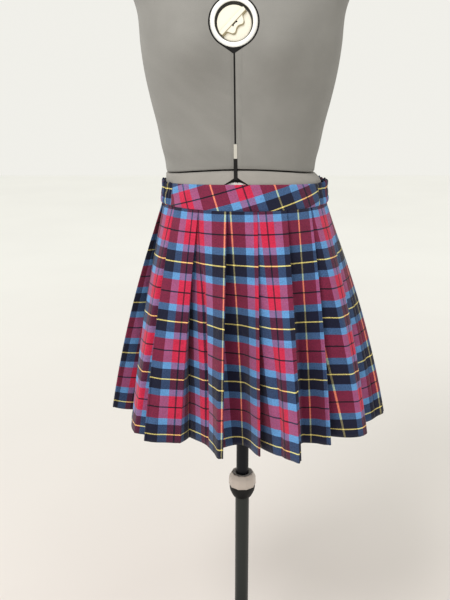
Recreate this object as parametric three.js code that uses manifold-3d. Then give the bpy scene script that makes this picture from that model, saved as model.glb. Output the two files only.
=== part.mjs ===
// A short pleated tartan skirt worn on an adjustable dress form, in millimetres, +Z up, front towards -Y.
// The origin is on the floor, under the middle of the pole.
import * as THREE from "three";
import { mergeVertices } from "three/addons/utils/BufferGeometryUtils.js";
import Module from "manifold-3d";

const wasm = await Module();
wasm.setup();

const GAP = 0.3; // between pieces that touch

// ---- Skirt: driving sizes -------------------------------------------------------------------
const SEAM_Z = 996; // the seam under the waistband
const BAND_TOP = { front: 1036, side: 1030 }; // the band is contoured, and lower at the sides
const BAND_BOTTOM_Z = SEAM_Z + GAP;
const CLOTH_LENGTH = 386; // of the pleated panels, seam to hem
const WALL = 1; // thickness of the cloth walls
const BAND_WALL = 1.6; // a band is two layers of cloth with a stiffener
const LAYER = 1.8; // from one folded layer to the next at the seam
const WAIST = { halfWidth: 135, halfDepth: 102 }; // of the folded cloth's outermost layer at the seam
const FACE = 47; // the width of a pleat's face at the seam
const UNDER = 41.5; // how far each pleat is folded under
const PLEAT = FACE + 2 * UNDER; // flat cloth in one pleat
const FIRST_CREASE = 2.5; // flat place of crease 3, from the yellow stripe nearest the middle
const FIRST_ALONG = -29.8; // that crease's place round the waist, from the centre front
const CREASE_FOLD = 0.75; // half the width of a crease's blunt edge
const RISE_FROM = 0.9; // a face comes up to the outermost layer between these places past its crease
const RISE_TO = 4.2;

// Where each pleat hangs at the hem, seen from above: its outer crease, its inner crease, and the middle of
// the face that follows. Pleat 3 is the first to the left of the centre front, and they run to the right.
// Every pleat is folded to the left but one: in the turned pleat, "out" is where the face before goes under.
const HEM = [
  { pleat: 1, outX: -184, outY: -90, inX: -147, inY: -93, faceX: -165, faceY: -119 },
  { pleat: 2, outX: -106, outY: -115, inX: -92, inY: -90, faceX: -63, faceY: -121 },
  { pleat: 3, outX: -36, outY: -180, inX: -43, inY: -144, faceX: -7, faceY: -118 },
  { pleat: 4, outX: 23, outY: -167, inX: 18, inY: -122, faceX: 54, faceY: -171 },
  { pleat: 5, outX: 84, outY: -204, inX: 85, inY: -160, faceX: 95, faceY: -116 },
  { pleat: 6, outX: 140, outY: -132, inX: 133, inY: -94, faceX: 186, faceY: -112 },
  { pleat: 7, outX: 205, outY: -90, inX: 174, inY: -66, faceX: 211, faceY: -51 },
  { pleat: 8, outX: 247, outY: -26, inX: 210, inY: -10, faceX: 228, faceY: 26 },
  { pleat: 9, outX: 232, outY: 66, inX: 192, inY: 52, faceX: 196, faceY: 90 },
  { pleat: 10, outX: 182, outY: 134, inX: 158, inY: 98, faceX: 138, faceY: 133 },
  { pleat: 11, outX: 104, outY: 168, inX: 98, inY: 127, faceX: 66, faceY: 152 },
  { pleat: 12, outX: 22, outY: 181, inX: 25, inY: 138, faceX: -12, faceY: 150 },
  { pleat: 13, outX: -60, outY: 177, inX: -51, inY: 136, faceX: -88, faceY: 144 },
  { pleat: 14, outX: -136, outY: 152, inX: -118, inY: 115, faceX: -155, faceY: 110 },
  { pleat: 15, outX: -203, outY: 98, inX: -170, inY: 72, faceX: -207, faceY: 50 },
  { pleat: 16, outX: -233, outY: 2, inX: -193, inY: 10, faceX: -196, faceY: -34 },
];
const PLEATS = HEM.length;
const WAIST_ROUND = PLEATS * FACE;
const SEAM_BEFORE_CREASE = 22.5; // the side seams run this far before creases 8 and 16
const SIDE_SEAMS = [
  { before: 16, turn: -1 },
  { before: 8, turn: 0 },
];
// Heights of the cloth's rings, as shares of its length.
const DOWN = [0, 0.05, 0.13, 0.24, 0.37, 0.51, 0.66, 0.82, 1];
// Points along one pleat's face, as flat distances from its inner crease towards the next outer one.
const FACE_POINTS = [UNDER * 0.45, UNDER + RISE_FROM, UNDER + RISE_TO, UNDER + 17, UNDER + 31];

// ---- Round the waist ------------------------------------------------------------------------
const TURN_STEPS = 720;
function roundTable(halfWidth, halfDepth) {
  const rows = [{ angle: -Math.PI / 2, along: 0 }];
  let last = [0, -halfDepth];
  for (let i = 1; i <= TURN_STEPS; i++) {
    const angle = -Math.PI / 2 + (i / TURN_STEPS) * 2 * Math.PI;
    const here = [halfWidth * Math.cos(angle), halfDepth * Math.sin(angle)];
    rows.push({ angle, along: rows[i - 1].along + Math.hypot(here[0] - last[0], here[1] - last[1]) });
    last = here;
  }
  return rows;
}
const waistTable = roundTable(WAIST.halfWidth, WAIST.halfDepth);
const waistLength = waistTable[TURN_STEPS].along;

// The angle on the waist's ellipse of a place round it, counted from the centre front to the right.
function waistAngle(along) {
  const share = (((along / WAIST_ROUND) % 1) + 1) % 1;
  const goal = share * waistLength;
  let low = 0;
  let high = TURN_STEPS;
  while (high - low > 1) {
    const middle = (low + high) >> 1;
    if (waistTable[middle].along <= goal) low = middle;
    else high = middle;
  }
  const a = waistTable[low];
  const b = waistTable[high];
  return a.angle + ((goal - a.along) / (b.along - a.along)) * (b.angle - a.angle);
}

// A point of an ellipse around the waist, grown outwards by out.
function aroundWaist(along, out) {
  const angle = waistAngle(along);
  const x = WAIST.halfWidth * Math.cos(angle);
  const y = WAIST.halfDepth * Math.sin(angle);
  const normal = [WAIST.halfDepth * Math.cos(angle), WAIST.halfWidth * Math.sin(angle)];
  const size = Math.hypot(...normal);
  return [x + (out * normal[0]) / size, y + (out * normal[1]) / size];
}

// ---- The pleated cloth ----------------------------------------------------------------------
const smooth = (t) => {
  const x = Math.min(1, Math.max(0, t));
  return x * x * (3 - 2 * x);
};
const mix = (a, b, t) => a + (b - a) * t;
const through = (a, b, c, middle, t) => {
  // the smooth curve through a at 0, b at middle and c at 1
  const wa = ((t - middle) * (t - 1)) / middle;
  const wb = (t * (t - 1)) / (middle * (middle - 1));
  const wc = (t * (t - middle)) / (1 - middle);
  return [0, 1].map((k) => wa * a[k] + wb * b[k] + wc * c[k]);
};
const TURNED_PLEAT = 1;
const TURNED_UNDER = 20; // it and the next pleat meet under the face between them, so they are shallower there
const BESIDE_UNDER = 22;
const TURNED_FLAT = 77.5; // flat cloth from where the turned pleat goes under to its edge
const TURNED_FACE = [0.25, 0.55, 0.8]; // points along its face, as shares
const pleatRow = (n) => HEM[(((n - 1) % PLEATS) + PLEATS) % PLEATS];
const creaseAlong = (n) => FIRST_ALONG + (n - 3) * FACE;
const creaseFlat = (n) => FIRST_CREASE + (n - 3) * PLEAT;
const LAG = { outer: 1, face: 1.2, inner: 2 }; // how much later than the outer creases the rest swings out

// One point across the cloth: its flat place, its places at the seam and at the hem, and its lag.
function knot(n, flat, along, layer, hem, lag, edge = 0) {
  const seam = aroundWaist(creaseAlong(n) + along, (layer - 2) * LAYER);
  const swing = Math.hypot(hem[0] - seam[0], hem[1] - seam[1]);
  return { flat: creaseFlat(n) + flat, seam, hem, lag, edge, drop: Math.sqrt(CLOTH_LENGTH ** 2 - swing ** 2) };
}

// A crease is two knots in one place, the first before the turn and the second after it.
function crease(n, flat, along, layer, hem, lag) {
  return [1, -1].map((edge) => knot(n, flat - edge * CREASE_FOLD, along, layer, hem, lag, edge));
}

// The knots of pleat n, from its outer crease to just before the next one.
function pleatKnots(n) {
  const row = pleatRow(n);
  const next = pleatRow(n + 1);
  const out = [row.outX, row.outY];
  const inner = [row.inX, row.inY];
  const face = [row.faceX, row.faceY];
  const nextOut = [next.outX, next.outY];
  const halfway = (a, b) => [mix(a[0], b[0], 0.5), mix(a[1], b[1], 0.5)];
  if (row.pleat === TURNED_PLEAT) {
    return [
      knot(n, 0, -RISE_FROM, 0, out, LAG.face),
      ...crease(n, TURNED_FLAT / 2, TURNED_UNDER, 0.5, inner, LAG.inner),
      knot(n, TURNED_FLAT * 0.75, TURNED_UNDER / 2, 1, halfway(inner, face), mix(LAG.outer, LAG.inner, 0.5)),
      ...crease(n, TURNED_FLAT, 0, 1.5, face, LAG.outer),
      ...TURNED_FACE.map((share) => {
        const hem = [mix(face[0], nextOut[0], share), mix(face[1], nextOut[1], share)];
        return knot(n, mix(TURNED_FLAT, PLEAT, share), FACE * share, 2, hem, LAG.outer);
      }),
    ];
  }
  const under = row.pleat === TURNED_PLEAT + 1 ? BESIDE_UNDER : UNDER;
  const knots = [
    ...crease(n, 0, 0, 1.5, out, LAG.outer),
    knot(n, UNDER / 2, -under / 2, 1, halfway(out, inner), mix(LAG.outer, LAG.inner, 0.5)),
    ...crease(n, UNDER, -under, 0.5, inner, LAG.inner),
  ];
  const long = FACE + UNDER;
  for (const from of FACE_POINTS) {
    const past = from - UNDER;
    const along = past < 0 ? (past * under) / UNDER : past;
    const layer = 2 * smooth((past - RISE_FROM) / (RISE_TO - RISE_FROM));
    const lag = past < 0 ? mix(LAG.inner, LAG.face, (from / UNDER) ** 2) : mix(LAG.face, LAG.outer, past / FACE);
    const hem = through(inner, face, nextOut, UNDER / long, from / long);
    knots.push(knot(n, UNDER + from, along, layer, hem, lag));
  }
  return knots;
}

// A point at a share of the cloth's length below the seam.
function clothPoint(k, down) {
  const swing = down * (1.35 - 0.35 * down);
  const open = swing ** k.lag;
  return [mix(k.seam[0], k.hem[0], open), mix(k.seam[1], k.hem[1], open), SEAM_Z - down * k.drop];
}

// One row of points across the cloth, with its creases' two knots moved apart.
function clothRow(knots, down) {
  const row = knots.map((k) => clothPoint(k, down));
  const toward = (from, to) => {
    const size = Math.hypot(to[0] - from[0], to[1] - from[1]);
    return [(to[0] - from[0]) / size, (to[1] - from[1]) / size];
  };
  knots.forEach((k, i) => {
    if (k.edge !== 1) return;
    const middle = row[i];
    const back = toward(middle, row[i - 1]);
    const on = toward(middle, row[i + 2]);
    const apart = [back[0] - on[0], back[1] - on[1]];
    const size = Math.hypot(...apart);
    const move = apart.map((v) => (v * CREASE_FOLD) / size);
    row[i] = [middle[0] + move[0], middle[1] + move[1], middle[2]];
    row[i + 1] = [middle[0] - move[0], middle[1] - move[1], middle[2]];
  });
  return row;
}

// All knots from one flat place to another, with new ones at the two ends.
function knotsBetween(from, to) {
  const first = Math.floor((from - creaseFlat(0)) / PLEAT) - 1;
  const last = Math.ceil((to - creaseFlat(0)) / PLEAT) + 1;
  const all = [];
  for (let n = first; n <= last; n++) all.push(...pleatKnots(n));
  const end = (flat) => {
    const i = all.findIndex((k) => k.flat > flat);
    const [a, b] = [all[i - 1], all[i]];
    const t = (flat - a.flat) / (b.flat - a.flat);
    const between = (key) => [0, 1].map((c) => mix(a[key][c], b[key][c], t));
    const ends = { seam: between("seam"), hem: between("hem") };
    return { ...ends, flat, edge: 0, lag: mix(a.lag, b.lag, t), drop: mix(a.drop, b.drop, t) };
  };
  const inside = all.filter((k) => k.flat > from + CREASE_FOLD && k.flat < to - CREASE_FOLD);
  return [end(from), ...inside, end(to)];
}

// ---- Closed meshes from rings of points --------------------------------------------------------
// The same row of points moved sideways by half a wall, mitred at its corners, in plan.
function sideways(row, distance) {
  const last = row.length - 1;
  const direction = (i) => {
    const [a, b] = [row[i], row[i + 1]];
    const size = Math.hypot(b[0] - a[0], b[1] - a[1]);
    return [(b[0] - a[0]) / size, (b[1] - a[1]) / size];
  };
  return row.map((p, i) => {
    const before = direction(Math.max(0, i - 1));
    const after = direction(Math.min(last - 1, i));
    const normal = [before[1] + after[1], -before[0] - after[0]];
    const size = Math.hypot(...normal) || 1;
    const corner = Math.max(0.55, (normal[0] * before[1] - normal[1] * before[0]) / size);
    const move = distance / (size * corner);
    return [p[0] + normal[0] * move, p[1] + normal[1] * move, p[2]];
  });
}

function meshOf(points, faces) {
  const geometry = new THREE.BufferGeometry();
  geometry.setAttribute("position", new THREE.Float32BufferAttribute(points.flat(), 3));
  geometry.setIndex(faces.flat());
  return geometry;
}

// A wall between an outer and an inner sheet of points, each a list of rows from the top down.
function wallBetween(outer, inner) {
  const rows = outer.length;
  const count = outer[0].length;
  const points = [...outer.flat(), ...inner.flat()];
  const half = rows * count;
  const faces = [];
  const quad = (a, b, c, d) => faces.push([a, b, c], [a, c, d]);
  const at = (row, i) => row * count + i;
  for (let i = 0; i < count - 1; i++) {
    for (let row = 0; row < rows - 1; row++) {
      // both sheets are split along the same diagonal, so that the wall between them stays even
      quad(at(row, i), at(row + 1, i), at(row + 1, i + 1), at(row, i + 1));
      quad(half + at(row, i), half + at(row, i + 1), half + at(row + 1, i + 1), half + at(row + 1, i));
    }
    quad(at(0, i), at(0, i + 1), half + at(0, i + 1), half + at(0, i));
    const end = rows - 1;
    quad(at(end, i + 1), at(end, i), half + at(end, i), half + at(end, i + 1));
  }
  for (let row = 0; row < rows - 1; row++) {
    const end = count - 1;
    quad(at(row, 0), half + at(row, 0), half + at(row + 1, 0), at(row + 1, 0));
    quad(at(row, end), at(row + 1, end), half + at(row + 1, end), half + at(row, end));
  }
  return meshOf(points, faces);
}

const middleOf = (points) => [0, 1, 2].map((k) => points.reduce((sum, p) => sum + p[k], 0) / points.length);

// A solid through closed rings of points, from the lowest up, with ends that meet at each ring's middle.
function loft(rings) {
  const count = rings[0].length;
  const points = rings.flat();
  const faces = [];
  const at = (ring, i) => ring * count + (i % count);
  for (let ring = 0; ring < rings.length - 1; ring++) {
    for (let i = 0; i < count; i++) {
      faces.push([at(ring, i), at(ring, i + 1), at(ring + 1, i + 1)]);
      faces.push([at(ring, i), at(ring + 1, i + 1), at(ring + 1, i)]);
    }
  }
  for (const [ring, isTop] of [[0, false], [rings.length - 1, true]]) {
    points.push(middleOf(rings[ring]));
    const middle = points.length - 1;
    for (let i = 0; i < count; i++) {
      faces.push(isTop ? [middle, at(ring, i), at(ring, i + 1)] : [middle, at(ring, i + 1), at(ring, i)]);
    }
  }
  return meshOf(points, faces);
}

function solidOf(geometry) {
  const bare = new THREE.BufferGeometry().setAttribute("position", geometry.getAttribute("position"));
  if (geometry.index) bare.setIndex(geometry.index);
  const merged = mergeVertices(bare, 1e-3);
  return new wasm.Manifold(
    new wasm.Mesh({
      numProp: 3,
      vertProperties: merged.attributes.position.array,
      triVerts: new Uint32Array(merged.index.array),
    }),
  );
}

function geometryOf(solid) {
  const mesh = solid.getMesh();
  return new THREE.BufferGeometry()
    .setAttribute("position", new THREE.BufferAttribute(mesh.vertProperties, 3))
    .setIndex(new THREE.BufferAttribute(mesh.triVerts, 1));
}

const cut = (geometry, ...tools) => {
  const start = solidOf(geometry);
  return geometryOf(tools.reduce((solid, tool) => solid.subtract(solidOf(tool)), start));
};

// ---- Skirt pieces ---------------------------------------------------------------------------
function pleatedPanel(from, to) {
  const knots = knotsBetween(from + GAP / 2, to - GAP / 2);
  const rows = DOWN.map((down) => clothRow(knots, down));
  return wallBetween(
    rows.map((row) => sideways(row, WALL / 2)),
    rows.map((row) => sideways(row, -WALL / 2)),
  );
}

const seamFlats = SIDE_SEAMS.map((s) => creaseFlat(s.before) + s.turn * PLEATS * PLEAT - SEAM_BEFORE_CREASE);
const skirtFront = () => pleatedPanel(seamFlats[0], seamFlats[1]);
const skirtBack = () => pleatedPanel(seamFlats[1], seamFlats[0] + PLEATS * PLEAT);

const FRONT_BAND_HALF = 128; // the flat front band reaches this far round to each side
const BAND_OUT = 0.4; // the band stands out this far past the pleats' outer layer
const BAND_LEAN = 4.9; // the top of the band is this much closer in than its bottom
const FRONT_BAND_STEPS = 30;
const GATHERS = 42; // waves in the elasticated band
const GATHER_POINTS = 3;
const GATHER_DEPTH = 1.5;
const BAND_ROWS = [0, 0.2, 0.8, 1]; // from the top down

function bandRow(share, places) {
  return places.map(({ along, out }) => {
    const top = mix(BAND_TOP.side, BAND_TOP.front, Math.sin(waistAngle(along)) ** 2);
    const z = mix(top, BAND_BOTTOM_Z, share);
    const edge = 1 - Math.abs(2 * share - 1) ** 6; // the gathers ease off at the two edges
    const lean = BAND_LEAN * (1 - share);
    const [x, y] = aroundWaist(along, BAND_OUT - lean + out * (0.35 + 0.65 * edge));
    return [x, y, z];
  });
}

function band(places) {
  const rows = BAND_ROWS.map((share) => bandRow(share, places));
  return wallBetween(
    rows.map((row) => sideways(row, BAND_WALL / 2)),
    rows.map((row) => sideways(row, -BAND_WALL / 2)),
  );
}

function waistbandFront() {
  const places = [];
  for (let i = 0; i <= FRONT_BAND_STEPS; i++) {
    const along = mix(-FRONT_BAND_HALF + GAP / 2, FRONT_BAND_HALF - GAP / 2, i / FRONT_BAND_STEPS);
    places.push({ along, out: 0 });
  }
  return band(places);
}

function waistbandBack() {
  const places = [];
  const count = GATHERS * GATHER_POINTS;
  const start = FRONT_BAND_HALF + GAP / 2;
  const end = WAIST_ROUND - FRONT_BAND_HALF - GAP / 2;
  for (let i = 0; i <= count; i++) {
    const wave = Math.sin((i / GATHER_POINTS) * 2 * Math.PI);
    const ends = smooth(Math.min(i, count - i) / GATHER_POINTS); // starts flat against the front band
    places.push({ along: mix(start, end, i / count), out: ends * (GATHER_DEPTH * (wave + 0.9)) });
  }
  return band(places);
}

// ---- Dress form -----------------------------------------------------------------------------
const RING_POINTS = 40;
const WAIST_GAP = 2.6; // the dark joint between the chest and the hip
const JOINT_Z = 1045; // the middle of that joint at the sides
const JOINT_RISE = 13; // it is this much higher at the middle of the front and of the back
const CHEST_MIDDLE = -7; // the chest sits this far to the right side of the pole, as worn
// Sections of the form. Front and back are depths from the pole, middle is the section's own middle, and square
// is how boxy it is. A section with a rise isn't level: z is its height at the sides.
const HIP_SECTIONS = [
  { z: 866, halfWidth: 124, front: 94, back: 96, middle: 0, square: 2 },
  { z: 872, halfWidth: 128, front: 97, back: 99, middle: 0, square: 2 },
  { z: 900, halfWidth: 128.5, front: 97, back: 99, middle: 0, square: 2 },
  { z: 940, halfWidth: 127.5, front: 95.5, back: 97, middle: 0, square: 2 },
  { z: 975, halfWidth: 126.5, front: 94.5, back: 95, middle: 0, square: 2 },
  { z: 996, halfWidth: 127, front: 94.5, back: 95, middle: 0, square: 2 },
  { z: 1012, halfWidth: 128, front: 97.5, back: 97.5, middle: 0, square: 2 },
  { z: 1034, halfWidth: 125.5, front: 96, back: 96, middle: -2.5, square: 2 },
  {
    z: JOINT_Z - WAIST_GAP / 2,
    rise: JOINT_RISE,
    halfWidth: 121,
    front: 93.5,
    back: 93,
    middle: CHEST_MIDDLE,
    square: 2,
  },
];
const CHEST_SECTIONS = [
  { z: JOINT_Z + WAIST_GAP / 2, rise: JOINT_RISE, halfWidth: 120, front: 94, back: 92, square: 2.05 },
  { z: 1066, halfWidth: 122.5, front: 95, back: 93, square: 2.05 },
  { z: 1085, halfWidth: 127, front: 97, back: 95, square: 2.1 },
  { z: 1120, halfWidth: 133.5, front: 100, back: 99, square: 2.15 },
  { z: 1160, halfWidth: 143, front: 104, back: 104, square: 2.2 },
  { z: 1200, halfWidth: 151, front: 108, back: 108, square: 2.25 },
  { z: 1240, halfWidth: 156, front: 111, back: 111, square: 2.3 },
  { z: 1280, halfWidth: 158.5, front: 109, back: 112, square: 2.35 },
  { z: 1300, halfWidth: 163, front: 105, back: 112, square: 2.35 },
  { z: 1325, halfWidth: 173, front: 98, back: 111, square: 2.35 },
  { z: 1360, halfWidth: 180, front: 86, back: 106, square: 2.3 },
  { z: 1390, halfWidth: 176, front: 73, back: 97, square: 2.2 },
  { z: 1412, halfWidth: 152, front: 62, back: 86, square: 2.1 },
  { z: 1428, halfWidth: 112, front: 55, back: 75, square: 2 },
  { z: 1442, halfWidth: 76, front: 52, back: 65, square: 2 },
  { z: 1460, halfWidth: 57, front: 50, back: 57, square: 2 },
  { z: 1490, halfWidth: 53, front: 50, back: 53, square: 2 },
  { z: 1520, halfWidth: 52.5, front: 51, back: 52, square: 2 },
].map((section) => ({ ...section, middle: CHEST_MIDDLE }));
const BUST = { z: 1238, height: 56, across: 64, spread: 46, depth: 19 };
// The line of the dials: its place at the waist, and its lean.
const FRONT_LINE = { waist: -15.7, lean: -0.017 };
const frontLineX = (z) => FRONT_LINE.waist + FRONT_LINE.lean * (z - JOINT_Z);

function sectionRing(section) {
  const ring = [];
  for (let i = 0; i < RING_POINTS; i++) {
    const angle = (i / RING_POINTS) * 2 * Math.PI;
    const c = Math.cos(angle);
    const s = Math.sin(angle);
    const z = section.z + (section.rise ?? 0) * s * s;
    const power = 2 / section.square;
    const x = section.middle + section.halfWidth * Math.sign(c) * Math.abs(c) ** power;
    const depth = s < 0 ? section.front : section.back;
    let y = depth * Math.sign(s) * Math.abs(s) ** power;
    if (s < 0) {
      const up = Math.exp(-(((z - BUST.z) / BUST.height) ** 2));
      const side = Math.exp(-(((Math.abs(x - frontLineX(z)) - BUST.across) / BUST.spread) ** 2));
      y -= BUST.depth * up * side;
    }
    ring.push([x, y, z]);
  }
  return ring;
}

// The front middle of the form at a height, as a distance in front of the pole.
function frontAt(z) {
  const all = [...HIP_SECTIONS, ...CHEST_SECTIONS].map((s) => ({ front: s.front, z: s.z + (s.rise ?? 0) }));
  const i = Math.max(1, all.findIndex((s) => s.z >= z));
  const t = (z - all[i - 1].z) / (all[i].z - all[i - 1].z);
  const side = Math.exp(-((BUST.across / BUST.spread) ** 2));
  const up = Math.exp(-(((z - BUST.z) / BUST.height) ** 2));
  return mix(all[i - 1].front, all[i].front, t) + BUST.depth * up * side;
}

// Round pieces are turned about Z and then laid facing the front.
const AROUND = 28;
const turned = (profile, steps = AROUND) => {
  const points = profile.map(([r, z]) => new THREE.Vector2(r, z));
  return new THREE.LatheGeometry([...points, points[0]], steps).rotateX(Math.PI / 2);
};
const tube = (inner, outer, z0, z1, steps = AROUND) =>
  turned([[inner, z0], [outer, z0], [outer, z1], [inner, z1]], steps);
const rod = (radius, z0, z1, steps = AROUND) => turned([[0, z0], [radius, z0], [radius, z1], [0, z1]], steps);
// A round piece on the front line, facing -Y, with depth counted inwards from a plane at distance front.
const facing = (geometry, front, z) => geometry.rotateX(-Math.PI / 2).translate(frontLineX(z), -front, z);

const DIAL = { pocket: 36.4, ring: 34.4, hole: 26.4, knob: 25.9, deep: 15, ringThick: 6, knobDown: 3 };
const CHEST_DIAL_Z = 1268;
const HIP_DIAL_Z = 1004.5;
const GROOVE = { thin: 2.6, wide: 6, deep: 9, clipBottom: 1075, clipTop: 1097, overlap: 1 };
const DIAL_PROUD = 1; // the chest dial's ring stands this far out of the form
const DIAL_SUNK = 7; // and the hip's is sunk, so that its flat ring lies clear under the waistband
const chestDialFront = frontAt(CHEST_DIAL_Z) + DIAL_PROUD;
const hipDialFront = frontAt(HIP_DIAL_Z) - DIAL_SUNK;

const SLAB_STEP = 12; // from ring to ring of the pieces in the front groove
const CUT_CLEAR = 60; // a cutting tool starts this far outside what it cuts
const pocketTool = (front, z) => facing(rod(DIAL.pocket, -CUT_CLEAR, DIAL.deep), front, z);

// A flat slab along the front line, which follows the form's front skin at a depth below it.
function frontSlab(width, z0, z1, down, deep) {
  const steps = Math.max(1, Math.round((z1 - z0) / SLAB_STEP));
  const rings = [];
  for (let i = 0; i <= steps; i++) {
    const z = mix(z0, z1, i / steps);
    const y = down - frontAt(z);
    const [left, right] = [frontLineX(z) - width / 2, frontLineX(z) + width / 2];
    rings.push([[left, y, z], [right, y, z], [right, y + deep, z], [left, y + deep, z]]);
  }
  return loft(rings);
}

const LINE_TOP = CHEST_DIAL_Z - DIAL.pocket;
const SLAB_PROUD = 8; // a slab that cuts the groove starts this far outside the skin
const grooveTool = (width, z0, z1) => frontSlab(width, z0, z1, -SLAB_PROUD, GROOVE.deep + SLAB_PROUD);
function chestBlock() {
  const body = loft(CHEST_SECTIONS.map(sectionRing));
  const bottom = CHEST_SECTIONS[0].z;
  return cut(
    body,
    pocketTool(chestDialFront, CHEST_DIAL_Z),
    grooveTool(GROOVE.thin, GROOVE.clipTop - GROOVE.overlap, LINE_TOP + GROOVE.overlap),
    grooveTool(GROOVE.wide, bottom - GROOVE.overlap, GROOVE.clipTop),
  );
}

const POLE = { upper: 11.1, lower: 12.7, bore: 11.5, socketTop: 940 };
function hipBlock() {
  const body = loft(HIP_SECTIONS.map(sectionRing));
  return cut(
    body,
    pocketTool(hipDialFront, HIP_DIAL_Z),
    grooveTool(GROOVE.wide, HIP_DIAL_Z + DIAL.pocket / 2, JOINT_Z + JOINT_RISE),
    rod(POLE.upper + GAP, HIP_SECTIONS[0].z - CUT_CLEAR, POLE.socketTop),
  );
}

const dialRing = (front, z) => {
  const { hole, ring, ringThick } = DIAL;
  const profile = [[hole, 1.2], [hole + 1.5, 0], [ring - 1.5, 0], [ring, 1.2], [ring, ringThick], [hole, ringThick]];
  return facing(turned(profile), front, z);
};

// The dial's knob: a dished disc with a grip bar across it.
function dialKnob(front, z) {
  const { knob, knobDown, ringThick } = DIAL;
  const top = knobDown + 2.4;
  const disc = turned([[0, top], [knob - 2, top], [knob, top - 1.6], [knob, ringThick + 4], [0, ringThick + 4]]);
  const grip = new THREE.BoxGeometry(2 * knob - 9, 7, 4.6).translate(0, 0, top - 1.2);
  const solid = solidOf(disc).add(solidOf(grip));
  return facing(geometryOf(solid).rotateZ(THREE.MathUtils.degToRad(-42)), front, z);
}

// The black housing behind the dial, which shows as a thin rim around the ring.
const dialHousing = (front, z) => {
  const { pocket, deep, ringThick, hole } = DIAL;
  const outer = pocket - GAP;
  const lip = ringThick + GAP;
  const floor = ringThick + 4 + GAP;
  const profile = [[hole, lip], [outer, lip], [outer, deep - GAP], [0, deep - GAP], [0, floor], [hole, floor]];
  return facing(turned(profile), front, z);
};

// The plate in the waist joint: the joint's own outline, drawn in towards its middle to clear the groove.
const PLATE = { half: 0.8, share: 0.86 };
const waistPlate = () => {
  const ring = (z) => {
    const points = sectionRing({ ...HIP_SECTIONS.at(-1), z });
    const middle = middleOf(points);
    return points.map((p) => p.map((v, k) => mix(middle[k], v, PLATE.share)));
  };
  return loft([ring(JOINT_Z - PLATE.half), ring(JOINT_Z + PLATE.half)]);
};

const STRIP_DOWN = 2.2; // the black strip in the groove lies this far under the skin
const STRIP_SHORT = 4; // and ends this far below the dial
const BRIDGE_CLEAR = 2; // the wide strip across the waist joint starts this far above the hip's dial
const strip = (width, z0, z1) => frontSlab(width - 2 * GAP, z0, z1, STRIP_DOWN, GROOVE.deep - STRIP_DOWN - GAP);

const NECK_Z = CHEST_SECTIONS.at(-1).z;
const neckCap = () =>
  turned([[0, GAP], [48, GAP], [50, 3], [50, 8], [46, 12], [0, 16]]).translate(CHEST_MIDDLE, 0, NECK_Z);

// ---- Stand ----------------------------------------------------------------------------------
const COLLAR_Z = 462; // the top of the lower pole
const BASE_RADIUS = 205;
const baseDisc = () =>
  turned(
    [[0, 0], [BASE_RADIUS - 3, 0], [BASE_RADIUS, 3], [BASE_RADIUS, 8], [BASE_RADIUS - 4, 11], [60, 19], [0, 19]],
    64,
  );
const baseBoss = () => tube(POLE.lower + GAP, 22, 19 + GAP, 64);
const poleLower = () => tube(POLE.bore, POLE.lower, 19 + GAP, COLLAR_Z);
const poleUpper = () => rod(POLE.upper, 260, POLE.socketTop - 2);
const SOCKET = { bottom: 838, top: 852, radius: 27, bevel: 3.5 };
const formSocket = () => {
  const { bottom, top, radius, bevel } = SOCKET;
  const hole = POLE.upper + GAP;
  return turned([[hole, bottom], [radius - bevel, bottom], [radius, bottom + bevel], [radius, top], [hole, top]]);
};
// The black cup on the lower pole, which the clamping nut screws into.
const collarCup = () => {
  const r = POLE.lower + GAP;
  const z = COLLAR_Z;
  return turned([[r, z - 16], [18, z - 12], [22.5, z - 2], [23.6, z + 8], [r, z + 8]]);
};
const collarNut = () => {
  const z = COLLAR_Z + 8 + GAP;
  const r = POLE.bore + 0.6;
  return turned([[r, z], [25.4, z], [24.4, z + 16], [20, z + 25], [17, z + 26], [15, z + 22], [r, z + 22]], 12);
};

// ---- The whole ------------------------------------------------------------------------------
const paint = (color, roughness, metalness = 0) => new THREE.MeshStandardMaterial({ color, roughness, metalness });
const tartan = paint(0x7a2f4d, 0.95);
const jersey = paint(0x8d8a85, 0.95);
const black = paint(0x1c1b1b, 0.6);
const white = paint(0xf1f0ec, 0.4);
const cream = paint(0xefe9d8, 0.45);
const clear = paint(0xcfc8c2, 0.35);
const steel = paint(0x2f3330, 0.4, 0.6);

const skirt = new THREE.Group();
const form = new THREE.Group();
const stand = new THREE.Group();
const whole = new THREE.Group();
whole.add(stand, form, skirt);

function add(group, name, geometry, material) {
  const mesh = new THREE.Mesh(geometry, material);
  mesh.name = name;
  group.add(mesh);
}

add(skirt, "skirt_front", skirtFront(), tartan);
add(skirt, "skirt_back", skirtBack(), tartan);
add(skirt, "waistband_front", waistbandFront(), tartan);
add(skirt, "waistband_back", waistbandBack(), tartan);
add(form, "chest", chestBlock(), jersey);
add(form, "hip", hipBlock(), jersey);
add(form, "waist_plate", waistPlate(), black);
add(form, "neck_cap", neckCap(), black);
add(form, "front_strip", strip(GROOVE.thin, GROOVE.clipTop + GAP, LINE_TOP - STRIP_SHORT), black);
add(form, "front_clip", strip(GROOVE.wide, GROOVE.clipBottom, GROOVE.clipTop - GAP), white);
const bridgeBottom = HIP_DIAL_Z + DIAL.pocket + BRIDGE_CLEAR;
add(form, "front_bridge", strip(GROOVE.wide, bridgeBottom, GROOVE.clipBottom - GAP), black);
for (const [name, front, z] of [
  ["chest", chestDialFront, CHEST_DIAL_Z],
  ["hip", hipDialFront, HIP_DIAL_Z],
]) {
  add(form, `${name}_dial_ring`, dialRing(front, z), white);
  add(form, `${name}_dial_knob`, dialKnob(front, z), cream);
  add(form, `${name}_dial_housing`, dialHousing(front, z), black);
}
add(form, "form_socket", formSocket(), black);
add(stand, "pole_upper", poleUpper(), steel);
add(stand, "collar_nut", collarNut(), clear);
add(stand, "collar_cup", collarCup(), black);
add(stand, "pole_lower", poleLower(), steel);
add(stand, "base_boss", baseBoss(), black);
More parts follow.
